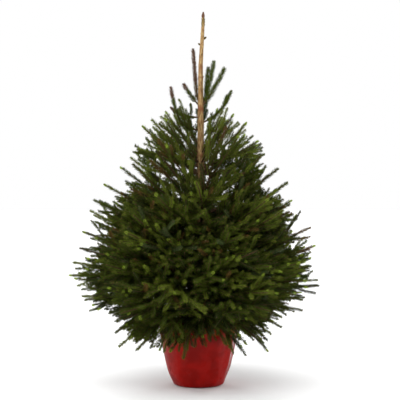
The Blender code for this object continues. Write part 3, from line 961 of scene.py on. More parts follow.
@dataclass(frozen=True)
class Growth:
    """The rule by which limbs branch. Chance draws evenly from each pair of numbers.

    An order is how many forks a twig lies from the trunk.
    """

    # Length of a year's growth, and the share of it to the last joint and between the others.
    year: float = 0.114
    last_year: tuple[float, float] = (0.8, 1.0)
    other_years: tuple[float, float] = (0.9, 1.05)
    # No joint bears twigs nearer the foot than this share of the limb or this length.
    bare_share: float = 0.06
    bare_length: float = 0.02
    # How much longer a lateral is for each metre of limb past it, how that varies, and its turn upwards.
    lateral_gain: float = 0.42
    lateral_vary: tuple[float, float] = (0.85, 1.15)
    lateral_roll: tuple[float, float] = (-0.7, 0.6)
    # The same for the third twig at a bough's joint, which stands above or below it.
    third_gain: float = 0.30
    third_vary: tuple[float, float] = (0.8, 1.1)
    # Limbs up to this order and over this length bear short shoots between the joints too.
    filled_order: int = 2
    filled_length: float = 0.14
    # These run from this far behind the tip to this share of the limb.
    filling_start: tuple[float, float] = (0.050, 0.070)
    filling_end: float = 0.25
    filling_vary: tuple[float, float] = (1.0, 1.5)
    filling_gain: float = 0.05
    filling_roll: tuple[float, float] = (-1.4, 1.6)
    filling_gap: tuple[float, float] = (0.8, 1.3)
    filling_order: int = 4
    # How a twig's angle varies, and how much it bends on towards its limb's heading.
    angle_vary: tuple[float, float] = (0.85, 1.12)
    follow: float = 0.42
    # How far out the laterals of a bough reach at least, and how the room of each twig varies.
    lateral_reach: float = 0.93
    room_vary: tuple[float, float] = (0.95, 1.03)
    # A twig without room is cut to these shares of its length, but never below the shortest.
    cuts: tuple[float, ...] = (1.0, 0.8, 0.62, 0.48)
    shortest: float = 0.035
    # Radius of a twig's tip and foot, which is thicker by a share of its length, up to a share of its limb's.
    tip_radius: float = 0.0009
    foot_radius: float = 0.0007
    foot_gain: float = 0.010
    foot_most: float = 0.8
    # Past this share of the crown's reach a twig may have its limb's shade or a fresh tip, by these chances.
    outer: float = 0.7
    same_shade: float = 0.4
    fresh: float = 0.17


@dataclass
class Crown:
    """Every bough, twig, needle and bud, grown whorl by whorl and gathered by tier and by shade."""

    trunk: Trunk
    pot: Pot
    growth: Growth = Growth()
    # Boughs reach further to the left than to the right by this share.
    leftward: float = 0.042
    # How much chance moves a bough: azimuth and sweep in degrees, least share of its reach, tip's height.
    bough_turn: float = 5
    bough_sweep: float = 7
    bough_least: float = 0.965
    bough_rise: float = 0.012
    bough_tip: float = 0.0018
    bough_fresh: float = 0.3
    # A bough is bare next to the trunk for this share of its reach beyond that of the clothed young ones.
    bough_bare: float = 0.42
    clothed_reach: float = 0.15
    # Top boughs whose tips lie this far behind the trunk's middle are bluish by this chance.
    far_behind: float = 0.05
    blue_behind: float = 0.6
    # Twigs turn up by this much and by their bough's own rise, but those over the pot's rim turn down.
    least_lift: float = 0.04
    foot_lift: float = -0.25
    # No twig reaches lower, or closer than this to the pot or the trunk.
    lowest: float = 0.112
    pot_clearance: float = 0.010
    trunk_clearance: float = 0.006
    # The trunk is seen from the front above this height, as no twig crosses it there.
    seen_from: float = 0.785
    seen_half: float = 0.020
    # Twigs grow sparser between these heights, by this chance that one is left out at the upper.
    sparse: tuple[float, float, float] = (0.78, 0.94, 0.20)
    # Needles stand from this far along a limb, in stretches of about this length.
    needles_from: float = 0.006
    stretch: float = 0.10
    # Deeper than this share of the crown's reach a stretch has shed needles, by this slope.
    shed_within: float = 1.25 / 1.5
    shed: float = 1.5
    needle: NeedleSize = NeedleSize()
    # Needles of a fresh tip, of the young shoots, under the terminal bud and round the leader's side buds.
    fresh_length: float = 0.013
    fresh_needle: NeedleSize = NeedleSize(0.0092, 0.0020, 2600, math.radians(36), 0.1)
    shoot_needle: NeedleSize = NeedleSize(0.0130, 0.0022, 3600, math.radians(46), 0.1)
    tuft_needle: NeedleSize = NeedleSize(0.0090, 0.0016, 3200, math.radians(26), 0.0)
    ruff_needle: NeedleSize = NeedleSize(0.0105, 0.0020, 5000, math.radians(34), 0.0)
    # A blade's fold as a share of its width, and its widest place and its tip's bend as shares of its length.
    blade_fold: float = 0.30
    blade_belly: float = 0.38
    blade_bend: float = 0.08
    # Sides of a limb's tube, which has more where its foot is stouter than this radius, the spacing of
    # its rings and how much its radius varies.
    twig_sides: int = 4
    bough_sides: int = 10
    stout: float = 0.005
    bark_ring: float = 0.026
    knottiness: tuple[float, float] = (0.9, 1.12)
    # Radius of the buds on twigs and on young shoots, and their length in radii.
    twig_bud: float = 0.0017
    shoot_bud: float = 0.0021
    bud_slimness: float = 3.0
    # Share of the length and of the radius of each ring of a bud.
    bud_profile: tuple[tuple[float, float], ...] = ((0.0, 0.65), (0.55, 1.0), (1.0, 0.50))
    # Radius at the foot and tip of a young shoot, and of one that it bears.
    shoot_radii: tuple[float, float] = (0.0036, 0.0014)
    side_radii: tuple[float, float] = (0.0022, 0.0012)
    # How far above its side such a one leaves, and how much it turns up along its length, in radians.
    side_roll: float = 0.8
    side_lift: float = 0.4
    # Height where the leader's last stretch starts, and where its tuft starts and ends, back from the tip.
    tuft_height: float = 1.22
    tuft_ends: tuple[float, float] = (0.036, 0.006)
    # The terminal bud sits this far down on the wood, ends this far under the full height, and is fuller
    # than the solid's by this factor.
    bud_seat: float = 0.004
    bud_short: float = 0.001
    bud_fuller: float = 1.15
    # The ring of buds round it: how many, the first one's azimuth, their outward lean, length and radius,
    # and how far out and up they stand.
    ring_buds: int = 5
    ring_first: float = 0.4
    ring_lean: float = 0.22
    ring_bud: tuple[float, float] = (0.0160, 0.0036)
    ring_place: tuple[float, float, float] = (0.005, 0.005, 0.001)
    # How steeply the side buds point up, their radius as a share of their length, how far out they sit as
    # a share of the leader's radius, and how much of their length their ring of needles covers.
    side_bud_rise: float = 0.9
    side_bud_radius: float = 0.28
    side_bud_seat: float = 0.7
    side_bud_stub: float = 0.45
    # Height, azimuth and length of the side buds on the leader.
    leader_buds: tuple[tuple[float, float, float], ...] = (
        (1.296, 0.1, 0.015),
        (1.274, math.pi - 0.2, 0.012),
        (1.236, -1.2, 0.007),
        (1.152, 0.2, 0.008),
        (1.120, -2.0, 0.007),
    )
    # How far twigs may reach at a height, and how far to the right the middle of that reach lies.
    outline: tuple[tuple[float, float, float], ...] = (
        (0.112, 0.196, -0.012), (0.150, 0.222, -0.014), (0.190, 0.276, -0.016), (0.240, 0.348, -0.018),
        (0.280, 0.405, -0.024), (0.320, 0.450, -0.014), (0.360, 0.480, 0.000), (0.420, 0.482, 0.018),
        (0.460, 0.470, 0.012), (0.510, 0.458, 0.000), (0.580, 0.425, 0.000), (0.640, 0.402, 0.000),
        (0.690, 0.375, 0.002), (0.725, 0.318, 0.016), (0.755, 0.292, 0.006), (0.790, 0.264, 0.012),
        (0.830, 0.264, 0.012), (0.870, 0.272, 0.010), (0.900, 0.248, 0.006), (0.935, 0.222, 0.000),
        (0.965, 0.192, -0.008), (0.990, 0.165, -0.018), (1.020, 0.122, -0.018), (1.040, 0.080, -0.008),
    )
    # Weaker boughs between the whorls.
    between: tuple[Whorl, ...] = (
        Whorl("foot", 0.250, 11, 10, 2, 0.215, 0.200, 0.0032),
        Whorl("foot", 0.262, 9, 30, 6, 0.250, 0.168, 0.0034),
        Whorl("foot", 0.255, 7, 0, -6, 0.262, 0.150, 0.0036),
        Whorl("foot", 0.272, 5, 0, 8, 0.290, 0.180, 0.0036),
        Whorl("foot", 0.285, 8, 25, 8, 0.330, 0.215, 0.0040),
        Whorl("skirt", 0.300, 6, 50, 8, 0.410, 0.282, 0.0042),
        Whorl("skirt", 0.338, 6, 0, 6, 0.468, 0.382, 0.0044),
        Whorl("broad", 0.396, 7, 14, 4, 0.460, 0.462, 0.0044),
        Whorl("flank", 0.465, 7, 36, 8, 0.435, 0.585, 0.0044),
        Whorl("waist", 0.545, 6, 10, 15, 0.385, 0.700, 0.0042),
        Whorl("shoulder", 0.635, 6, 40, 23, 0.318, 0.808, 0.0040),
        Whorl("neck", 0.735, 5, 15, 29, 0.258, 0.908, 0.0038),
        Whorl("crown", 0.835, 6, -10, 32, 0.185, 0.985, 0.0036),
        Whorl("crown", 0.850, 3, 90, 44, 0.115, 1.022, 0.0034),
        Whorl("crown", 0.872, 4, 25, 40, 0.140, 1.012, 0.0034),
        Whorl("crown", 0.885, 2, 150, 30, 0.122, 0.996, 0.0032),
        Whorl("crown", 0.895, 1, 122, 50, 0.082, 1.030, 0.0030),
        Whorl("crown", 0.905, 2, 25, 52, 0.080, 1.035, 0.0030),
        Whorl("crown", 0.815, 3, -12, 18, 0.232, 0.905, 0.0036),
        Whorl("crown", 0.822, 2, 172, 16, 0.226, 0.890, 0.0036),
    )
    whorls: tuple[Whorl, ...] = (
        Whorl("foot", 0.268, 6, 24, 10, 0.300, 0.150, 0.0064),
        Whorl("skirt", 0.312, 5, 18, 8, 0.445, 0.310, 0.0070),
        Whorl("broad", 0.366, 5, 36, 8, 0.485, 0.412, 0.0070),
        Whorl("flank", 0.430, 5, 0, 4, 0.468, 0.525, 0.0070),
        Whorl("waist", 0.502, 5, 22, 12, 0.420, 0.645, 0.0068),
        Whorl("shoulder", 0.588, 4, 0, 20, 0.350, 0.752, 0.0066),
        Whorl("neck", 0.682, 4, 60, 27, 0.288, 0.858, 0.0064),
        Whorl("crown", 0.788, 4, 30, 32, 0.228, 0.955, 0.0060),
    )
    young: tuple[YoungShoot, ...] = (
        YoungShoot("upper_arm_right", 0.985, -12, 22, 0.116, 1.097, Shade.OLIVE, 0.0, 0.0130,
                   ((0.58, -1, 0.046, 28),), 3),
        YoungShoot("upper_arm_left", 1.003, 174, 2, 0.112, 1.040, Shade.OLIVE, 0.30, 0.0090,
                   ((0.24, 0, 0.046, 98),), 3),
        YoungShoot("upper_arm_tall", 0.957, 196, 2, 0.1155, 1.110, Shade.OLIVE, 0.22, 0.0135, (), 4),
        YoungShoot("upper_arm_back", 0.975, 84, 38, 0.110, 1.080, Shade.BLUE, 0.0, 0.0140,
                   ((0.12, 1, 0.05, 46), (0.16, -1, 0.05, 46), (0.4, 1, 0.06, 28), (0.5, -1, 0.06, 28))),
        YoungShoot("top_shoot_left", 1.052, 190, 46, 0.064, 1.124, Shade.OLIVE, 0.30, 0.0145),
        YoungShoot("top_shoot_tall", 1.056, 132, 55, 0.042, 1.261, Shade.BRONZE, 0.65, 0.0130),
        YoungShoot("top_shoot_right", 1.050, -20, 50, 0.093, 1.180, Shade.OLIVE, 0.0, 0.0175),
        YoungShoot("top_shoot_inner", 1.054, 42, 58, 0.068, 1.216, Shade.OLIVE, 0.0, 0.0160,
                   ((0.20, -1, 0.112, 15),)),
    )
    # One buffer for each kind of piece, filled while the crown grows, and the length of all its twigs.
    needles: dict[tuple[Tier, Shade], MeshBuffer] = field(init=False)
    twigs: dict[Tier, MeshBuffer] = field(init=False)
    buds: dict[Tier, MeshBuffer] = field(init=False)
    metres: float = field(init=False, default=0.0)
    # Sources of chance: where limbs grow, and how each needle and ring of bark varies.
    rng: random.Random = field(init=False)
    dice: np.random.Generator = field(init=False)

    def __post_init__(self) -> None:
        """Opens the buffers and seeds both sources of chance."""
        self.needles = {(tier, shade): MeshBuffer() for tier in Tier for shade in Shade}
        self.twigs = {tier: MeshBuffer() for tier in Tier}
        self.buds = {tier: MeshBuffer() for tier in Tier}
        self.rng = random.Random(SEED)
        self.dice = np.random.default_rng(SEED)

    # Where limbs run

    def bough_line(self, whorl: Whorl, index: int) -> np.ndarray:
        """The centreline of one bough of a whorl, with the solids' own share of chance.

        Args:
            whorl: The whorl.
            index: The bough's number in it, from 0.

        Returns:
            Points from the bark to the tip.
        """
        key = whorl.name if whorl in self.whorls else f"{whorl.name}-{whorl.root}"
        rng = random.Random(f"{SEED}-{key}-{index}")
        turn = math.radians(whorl.first + 360 * index / whorl.count)
        turn += rng.uniform(-1, 1) * math.radians(self.bough_turn)
        sweep = rng.uniform(-1, 1) * math.radians(self.bough_sweep)
        reach = whorl.reach * (1 - self.leftward * math.cos(turn)) * rng.uniform(self.bough_least, 1)
        tip = whorl.tip + rng.uniform(-1, 1) * self.bough_rise
        return self.line(whorl.root, turn, whorl.pitch, reach, tip, sweep)

    def line(self, root: float, turn: float, pitch: float, reach: float, tip: float, sweep: float,
             rise: int = 2) -> np.ndarray:
        """A limb's centreline: a parabola or steeper curve in its upright plane, with a sideways sweep.

        Args:
            root: Height where it leaves the trunk.
            turn: Azimuth, in radians.
            pitch: Rise at its root, in degrees.
            reach: Distance of its tip from the trunk's middle.
            tip: Height of its tip.
            sweep: Turn of its tip round the trunk, in radians.
            rise: Power of its rise, which is higher the later it turns up.

        Returns:
            Points from the bark to the tip.
        """
        centre = self.trunk.centre(root)
        start = float(self.trunk.radius(root)) + TOUCH_GAP
        share = np.linspace(0.0, 1.0, 30)
        run = share * (reach - start)
        slope = math.tan(math.radians(pitch))
        bend = (tip - root - slope * (reach - start)) / (reach - start) ** rise
        angle = turn + sweep * share**2
        x = centre[0] + (start + run) * np.cos(angle)
        return np.stack((x, (start + run) * np.sin(angle), root + slope * run + bend * run**rise), axis=-1)

    def branch(self, parent: Limb, place: float, aside: np.ndarray, angle: float, length: float,
               lift: float) -> np.ndarray:
        """The centreline of a twig that leaves a limb and bends on towards its heading and the light.

        Args:
            parent: The limb that it leaves.
            place: Distance along the limb.
            aside: The side that it leaves on.
            angle: The angle between the twig and the limb, in radians.
            length: The twig's length.
            lift: How much it turns up along its length, in radians.

        Returns:
            Points from the limb's centreline to the tip.
        """
        ahead = parent.heading(place)
        flat = unit(aside - ahead * float(aside @ ahead))
        way = unit(ahead * math.cos(angle) + flat * math.sin(angle))
        pull = self.growth.follow * ahead + lift * UP
        pull = pull - way * float(pull @ way)
        along = np.linspace(0.0, length, max(4, int(length / 0.012)))[:, None]
        return parent.at(place) + way * along + pull * along**2 / (2 * length)

    def has_room(self, points: np.ndarray, reach: float) -> bool:
        """Whether a twig keeps inside the crown and clear of the trunk, the pot and the ground.

        Args:
            points: The twig's centreline.
            reach: The share of the outline's reach that it keeps to.

        Returns:
            True where the twig may grow.
        """
        tips = points[len(points) // 3 :]
        z = tips[:, 2]
        heights, widths, shifts = np.array(self.outline).T
        spread = np.hypot(tips[:, 0] - self.trunk.bow - np.interp(z, heights, shifts), tips[:, 1])
        radius = np.hypot(tips[:, 0] - self.trunk.bow, tips[:, 1])
        near_trunk = np.abs(tips[:, 0] - self.trunk.bow) < self.seen_half
        before_trunk = (z > self.seen_from) & (tips[:, 1] < 0) & near_trunk
        over_pot = (z < POT_HEIGHT + self.pot_clearance) & (radius < self.pot.radius(z) + self.pot_clearance)
        on_trunk = radius < self.trunk.radius(z) + self.trunk_clearance
        outside = (spread > np.interp(z, heights, widths) * reach) | (z < self.lowest)
        return not np.any(outside | over_pot | on_trunk | before_trunk)

    def outward(self, place: np.ndarray) -> float:
        """How far out a place lies, as a share of the crown's reach at its height."""
        heights, widths, _ = np.array(self.outline).T
        return float(np.hypot(place[0], place[1]) / np.interp(place[2], heights, widths))

    # How limbs branch

    def grow_all(self) -> None:
        """Grows every whorl, then the two young ones under the leader and the leader's own needles."""
        for tier in Tier:
            for whorl in self.whorls + self.between:
                if whorl.name in tier.whorls:
                    for index in range(whorl.count):
                        self.grow_bough(whorl, index, tier)
        for shoot in self.young:
            self.grow_young(shoot)
        self.grow_leader()

    def grow_bough(self, whorl: Whorl, index: int, tier: Tier) -> None:
        """Grows one bough with everything on it.

        Args:
            whorl: Its whorl.
            index: Its number there, from 0.
            tier: The part of the crown that takes its needles.
        """
        points = self.bough_line(whorl, index)
        behind = tier is Tier.HIGH and points[-1][1] > self.far_behind
        bluish = behind and self.rng.random() < self.blue_behind
        shade = Shade.BLUE if bluish else self.deal_shade(1.0, tier)
        bare = self.bough_bare * max(0.0, whorl.reach - self.clothed_reach)
        bough = Limb(points, whorl.thick, self.bough_tip, bare, shade, self.rng.random() < self.bough_fresh)
        self.dress(bough, tier)
        away = points[-1] - self.trunk.centre(whorl.root)
        reach = 1 - self.leftward * away[0] / float(np.hypot(away[0], away[1]))
        lift = self.foot_lift if whorl.name == "foot" else self.least_lift + (whorl.tip - whorl.root)
        self.branch_out(bough, 1, tier, reach, lift)

    def branch_out(self, limb: Limb, order: int, tier: Tier, reach: float, lift: float) -> None:
        """Puts a pair of laterals at each year's joint of a limb and weaker twigs between.

        Args:
            limb: The limb.
            order: How many forks the new twigs lie from the trunk.
            tier: The part of the crown that takes the needles.
            reach: The bough's share of the outline's reach.
            lift: How much the twigs turn up along their length, in radians.
        """
        rule, chance = self.growth, self.rng
        joint = limb.length - rule.year * chance.uniform(*rule.last_year)
        while joint > max(rule.bare_share * limb.length, rule.bare_length):
            left = limb.length - joint
            for turn in (-1, 1):
                length = (tier.shoot + rule.lateral_gain * left) * chance.uniform(*rule.lateral_vary)
                roll = chance.uniform(*rule.lateral_roll)
                self.add_twig(limb, joint, turn, roll, length, order, tier, reach, lift)
            if order == 1 and tier.forks > 1:
                length = (tier.shoot + rule.third_gain * left) * chance.uniform(*rule.third_vary)
                self.add_twig(limb, joint, 0, chance.choice((-1, 1)), length, order, tier, reach, lift)
            joint -= rule.year * chance.uniform(*rule.other_years)
        if order <= rule.filled_order and limb.length >= rule.filled_length:
            self.fill_out(limb, tier, reach, lift)

    def fill_out(self, limb: Limb, tier: Tier, reach: float, lift: float) -> None:
        """Puts short shoots along a limb, now on one side and now on the other.

        Args:
            limb: The limb.
            tier: The part of the crown that takes the needles.
            reach: The bough's share of the outline's reach.
            lift: How much the shoots turn up along their length, in radians.
        """
        rule, chance = self.growth, self.rng
        place = limb.length - chance.uniform(*rule.filling_start)
        turn = chance.choice((-1, 1))
        while place > rule.filling_end * limb.length:
            length = tier.shoot * chance.uniform(*rule.filling_vary)
            length += rule.filling_gain * (limb.length - place)
            roll = chance.uniform(*rule.filling_roll)
            self.add_twig(limb, place, turn, roll, length, rule.filling_order, tier, reach, lift)
            turn = -turn
            place -= tier.filling * chance.uniform(*rule.filling_gap)

    def add_twig(self, parent: Limb, place: float, turn: int, roll: float, length: float, order: int,
                 tier: Tier, reach: float, lift: float) -> None:
        """Grows one twig where there is room, shortened if need be, and all that it bears.

        Args:
            parent: The limb that it leaves.
            place: Distance along it.
            turn: Which side it leaves on: -1, 0 for neither, or 1.
            roll: How far above that side, or below where it is negative.
            length: The length that it would have in the open.
            order: How many forks it lies from the trunk.
            tier: The part of the crown that takes the needles.
            reach: The bough's share of the outline's reach.
            lift: How much it turns up along its length, in radians.
        """
        rule, chance = self.growth, self.rng
        side, above = frames(parent.heading(place))
        angle = tier.spread * chance.uniform(*rule.angle_vary)
        room = self.room_for(order, tier, reach)
        for share in rule.cuts:
            points = self.branch(parent, place, turn * side + roll * above, angle, share * length, lift)
            if share * length > rule.shortest and self.has_room(points, room):
                break
        else:
            return
        low, high, left_out = self.sparse
        if chance.random() < left_out * float(smooth_step(points[-1][2], low, high)):
            return
        most = rule.foot_most * float(parent.radius(place))
        foot = min(rule.foot_radius + rule.foot_gain * share * length, most)
        outward = self.outward(points[len(points) // 2])
        same = outward > rule.outer and chance.random() < rule.same_shade
        shade = parent.shade if same else self.deal_shade(outward, tier)
        fresh = outward > rule.outer and chance.random() < rule.fresh
        twig = Limb(points, foot, rule.tip_radius, 0.0, shade, fresh)
        self.dress(twig, tier)
        if order <= tier.forks:
            self.branch_out(twig, order + 1, tier, reach, lift)

    def room_for(self, order: int, tier: Tier, reach: float) -> float:
        """How much of the outline's reach the next twig keeps to.

        Args:
            order: How many forks it lies from the trunk.
            tier: The part of the crown that it stands in.
            reach: The bough's share of the outline's reach.

        Returns:
            Its share, drawn by chance, and drawn lower the lesser the twig.
        """
        inner = tier.inner
        if order <= 2:
            inner = self.rng.uniform(self.growth.lateral_reach if order == 1 else tier.inner, 1.0)
        return reach * self.rng.uniform(*self.growth.room_vary) * inner

    def deal_shade(self, outward: float, tier: Tier) -> Shade:
        """A shade for the next spray, by its share at that place in the crown."""
        return self.rng.choices(list(Shade), [shade.share(outward, tier.sunlit) for shade in Shade])[0]

    def grow_young(self, shoot: YoungShoot) -> None:
        """Grows a young shoot, whose needles are short and may brown towards its tip.

        Args:
            shoot: The shoot.
        """
        turn = math.radians(shoot.azimuth)
        points = self.line(shoot.root, turn, shoot.pitch, shoot.reach, shoot.tip, 0.0, shoot.rise)
        limb = Limb(points, *self.shoot_radii)
        size = replace(self.shoot_needle, length=shoot.needle)
        self.add_limb(limb, Tier.HIGH)
        browned = (1 - shoot.brown_tip) * limb.length
        self.add_needles(limb, 2 * self.needles_from, browned, size, Tier.HIGH, shoot.shade)
        self.add_needles(limb, browned, limb.length, size, Tier.HIGH, Shade.RUSSET)
        self.add_bud(limb, Tier.HIGH, self.shoot_bud)
        for place, turn, length, angle in shoot.sides:
            side, above = frames(limb.heading(place * limb.length))
            aside = turn * side + self.side_roll * above
            path = self.branch(limb, place * limb.length, aside, math.radians(angle), length, self.side_lift)
            twig = Limb(path, *self.side_radii)
            self.add_limb(twig, Tier.HIGH)
            self.add_needles(twig, self.needles_from, twig.length, size, Tier.HIGH, shoot.shade)
            self.add_bud(twig, Tier.HIGH, self.shoot_bud)

    def grow_leader(self) -> None:
        """Puts the terminal buds, the tuft of needles under them and the side buds on the leader."""
        trunk = self.trunk
        middle = np.stack([trunk.centre(z) for z in np.linspace(self.tuft_height, trunk.top, 12)])
        leader = Limb(middle, float(trunk.radius(self.tuft_height)), trunk.tip_radius)
        first, last = (leader.length - back for back in self.tuft_ends)
        self.add_needles(leader, first, last, self.tuft_needle, Tier.HIGH, Shade.OLIVE)
        tip = middle[-1] - self.bud_seat * UP
        length = TOTAL_HEIGHT - tip[2] - self.bud_short
        self.add_bud_at(tip, UP, length, trunk.bud_radius * self.bud_fuller, Tier.HIGH)
        for turn in full_turn(self.ring_buds) + self.ring_first:
            way = unit(np.array((self.ring_lean * math.cos(turn), self.ring_lean * math.sin(turn), 1.0)))
            self.add_bud_at(tip + way * self.ring_place, way, *self.ring_bud, Tier.HIGH)
        for height, turn, size in self.leader_buds:
            out = unit(np.array((math.cos(turn), math.sin(turn), self.side_bud_rise)))
            inset = float(trunk.radius(height)) * self.side_bud_seat
            foot = trunk.centre(height) + unit(out * (1, 1, 0)) * inset
            self.add_bud_at(foot, out, size, self.side_bud_radius * size, Tier.HIGH)
            stub = Limb(np.stack((foot, foot + self.side_bud_stub * size * out)), 0.0015, 0.0010)
            ruff = replace(self.ruff_needle, length=0.7 * size)
            self.add_needles(stub, 0.0, stub.length, ruff, Tier.HIGH, Shade.OLIVE)

    # What limbs bear

    def dress(self, limb: Limb, tier: Tier) -> None:
        """Gives a limb its bark, needles and end bud.

        Args:
            limb: The limb.
            tier: The part of the crown that takes them.
        """
        self.metres += limb.length
        self.add_limb(limb, tier)
        fresh = self.fresh_length if limb.fresh else 0.0
        count = 2 + int(limb.length / self.stretch)
        ends = np.linspace(max(limb.bare, self.needles_from), limb.length - fresh, count)
        for first, last in zip(ends, ends[1:]):
            outward = self.outward(limb.at((first + last) / 2))
            kept = float(np.clip(1 - self.shed * (self.shed_within - outward), tier.kept, 1))
            left = replace(self.needle, per_metre=self.needle.per_metre * kept)
            self.add_needles(limb, first, last, left, tier, limb.shade)
        if limb.fresh:
            self.add_needles(limb, limb.length - fresh, limb.length, self.fresh_needle, tier, Shade.FRESH)
        self.add_bud(limb, tier, self.twig_bud)

    def add_limb(self, limb: Limb, tier: Tier) -> None:
        """Adds a limb's bark as a tapering tube, rounder where it is thicker.

        Args:
            limb: The limb.
            tier: The part of the crown that takes it.
        """
        sides = self.bough_sides if limb.thick > self.stout else self.twig_sides
        place = np.linspace(0.0, limb.length, max(3, int(limb.length / self.bark_ring)))
        side, above = frames(limb.heading(place))
        turn = full_turn(sides)
        around = np.cos(turn)[None, :, None] * side[:, None] + np.sin(turn)[None, :, None] * above[:, None]
        knots = self.dice.uniform(*self.knottiness, (len(place), sides, 1))
        radius = limb.radius(place)[:, None, None] * knots
        rings = limb.at(place)[:, None] + radius * around
        self.twigs[tier].add(rings.reshape(-1, 3), ring_grid(len(place), sides))

    def add_bud(self, limb: Limb, tier: Tier, radius: float) -> None:
        """Adds the bud at a limb's tip."""
        self.add_bud_at(limb.points[-1], limb.heading(limb.length), self.bud_slimness * radius, radius, tier)

    def add_bud_at(self, foot: np.ndarray, way: np.ndarray, length: float, radius: float,
                   tier: Tier) -> None:
        """Adds an egg-shaped, scaly bud.

        Args:
            foot: The middle of its base.
            way: The direction that it points in.
            length: Its length.
            radius: Its greatest radius.
            tier: The part of the crown that takes it.
        """
        sides = 4
        side, above = frames(way)
        turn = full_turn(sides)
        around = np.cos(turn)[:, None] * side + np.sin(turn)[:, None] * above
        rings = [foot + way * along * length + around * share * radius for along, share in self.bud_profile]
        self.buds[tier].add(np.concatenate(rings), ring_grid(len(rings), sides))

    def add_needles(self, limb: Limb, first: float, last: float, size: NeedleSize, tier: Tier,
                    shade: Shade) -> None:
        """Sets needles round a stretch of twig, each a blade of two triangles folded at its midrib.

        They follow the golden angle, lean forward, comb upwards a little and close up at the tip.

        Args:
            limb: The twig.
            first: Distance along it where they start.
            last: Distance along it where they end.
            size: Their size, number and set.
            tier: The part of the crown that takes them.
            shade: Their shade.
        """
        count = int(max(0.0, last - first) * size.per_metre)
        if not count:
            return
        dice = self.dice
        number = np.arange(count)
        place = first + (last - first) * (number + dice.uniform(0, 1, count)) / count
        ahead = limb.heading(place)
        side, above = frames(ahead)
        turn = (GOLDEN_ANGLE * number + dice.uniform(-0.4, 0.4, count))[:, None]
        out = unit(np.cos(turn) * side + np.sin(turn) * above + size.combed * above)
        open_tip = np.clip((limb.length - place) / (0.8 * size.length), 0.0, 1.0)
        lean = size.tilt * (0.62 + 0.38 * open_tip) * dice.uniform(0.85, 1.15, count)
        way = unit(np.cos(lean)[:, None] * ahead + np.sin(lean)[:, None] * out)
        length = (size.length * (0.74 + 0.26 * open_tip) * dice.uniform(0.82, 1.12, count))[:, None]
        foot = limb.at(place) + out * limb.radius(place)[:, None] * 0.8
        roll = dice.uniform(-0.9, 0.9, count)[:, None]
        across = unit(np.cross(way, out))
        across = unit(np.cos(roll) * across + np.sin(roll) * np.cross(way, across))
        belly = foot + self.blade_belly * length * way - np.cross(across, way) * self.blade_fold * size.width
        tip = foot + length * way + self.blade_bend * length * ahead
        corners = (foot, belly + across * size.width / 2, tip, belly - across * size.width / 2)
        points = np.stack(corners, axis=1).reshape(-1, 3)
        base = 4 * number[:, None]
        faces = np.concatenate((base + (0, 1, 2), base + (0, 2, 3)))
        self.needles[tier, shade].add(points, faces)

    # The pieces

    def solids_of(self, tier: Tier) -> list[str]:
        """Lists the solids that a tier's twigs stand for.

        Args:
            tier: The part of the crown.

        Returns:
            Their nodes' names.
        """
        names = []
        for whorl in self.whorls:
            if whorl.name in tier.whorls:
                names += [f"needles_{whorl.name}_{k + 1}" for k in range(whorl.count)]
                if tier is Tier.LOW:
                    names += [f"bough_{whorl.name}_{k + 1}" for k in range(whorl.count)]
        if "leader" in tier.whorls:
            names += [f"needles_{shoot.name}" for shoot in self.young]
        return names

    def build(self) -> None:
        """Makes the pieces: for each tier its needles by shade, its twigs and its buds."""
        self.grow_all()
        bark = TwigBark().material()
        scales = TwigBark("bud_scales", "#5e3f2b", 0.0012).material()
        greens = {shade: NeedleCuticle(shade).material() for shade in Shade}
        for tier in Tier:
            name = tier.name.lower()
            twigs = self.twigs[tier].piece(f"twigs_{name}", bark, "bough_bark", True)
            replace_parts(twigs, *self.solids_of(tier))
            buds = self.buds[tier].piece(f"buds_{name}", scales, "bough_bark", True)
            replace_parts(buds, *self.solids_of(tier))
            for shade in Shade:
                buffer = self.needles[tier, shade]
                if buffer.count:
                    title = f"needles_{name}_{shade.name.lower()}"
                    piece = buffer.piece(title, greens[shade], "needles", False)
                    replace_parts(piece, *self.solids_of(tier))
        total = sum(buffer.triangles() for buffer in self.needles.values())
        log.info("twigs: %.1f m, needles: %d triangles", self.metres, total)


# The studio


@dataclass(frozen=True)
class SoftBox:
    """A soft box: its place, its width and height, and its power in watts."""

    name: str
    place: tuple[float, float, float]
    width: float
    height: float
    watts: float


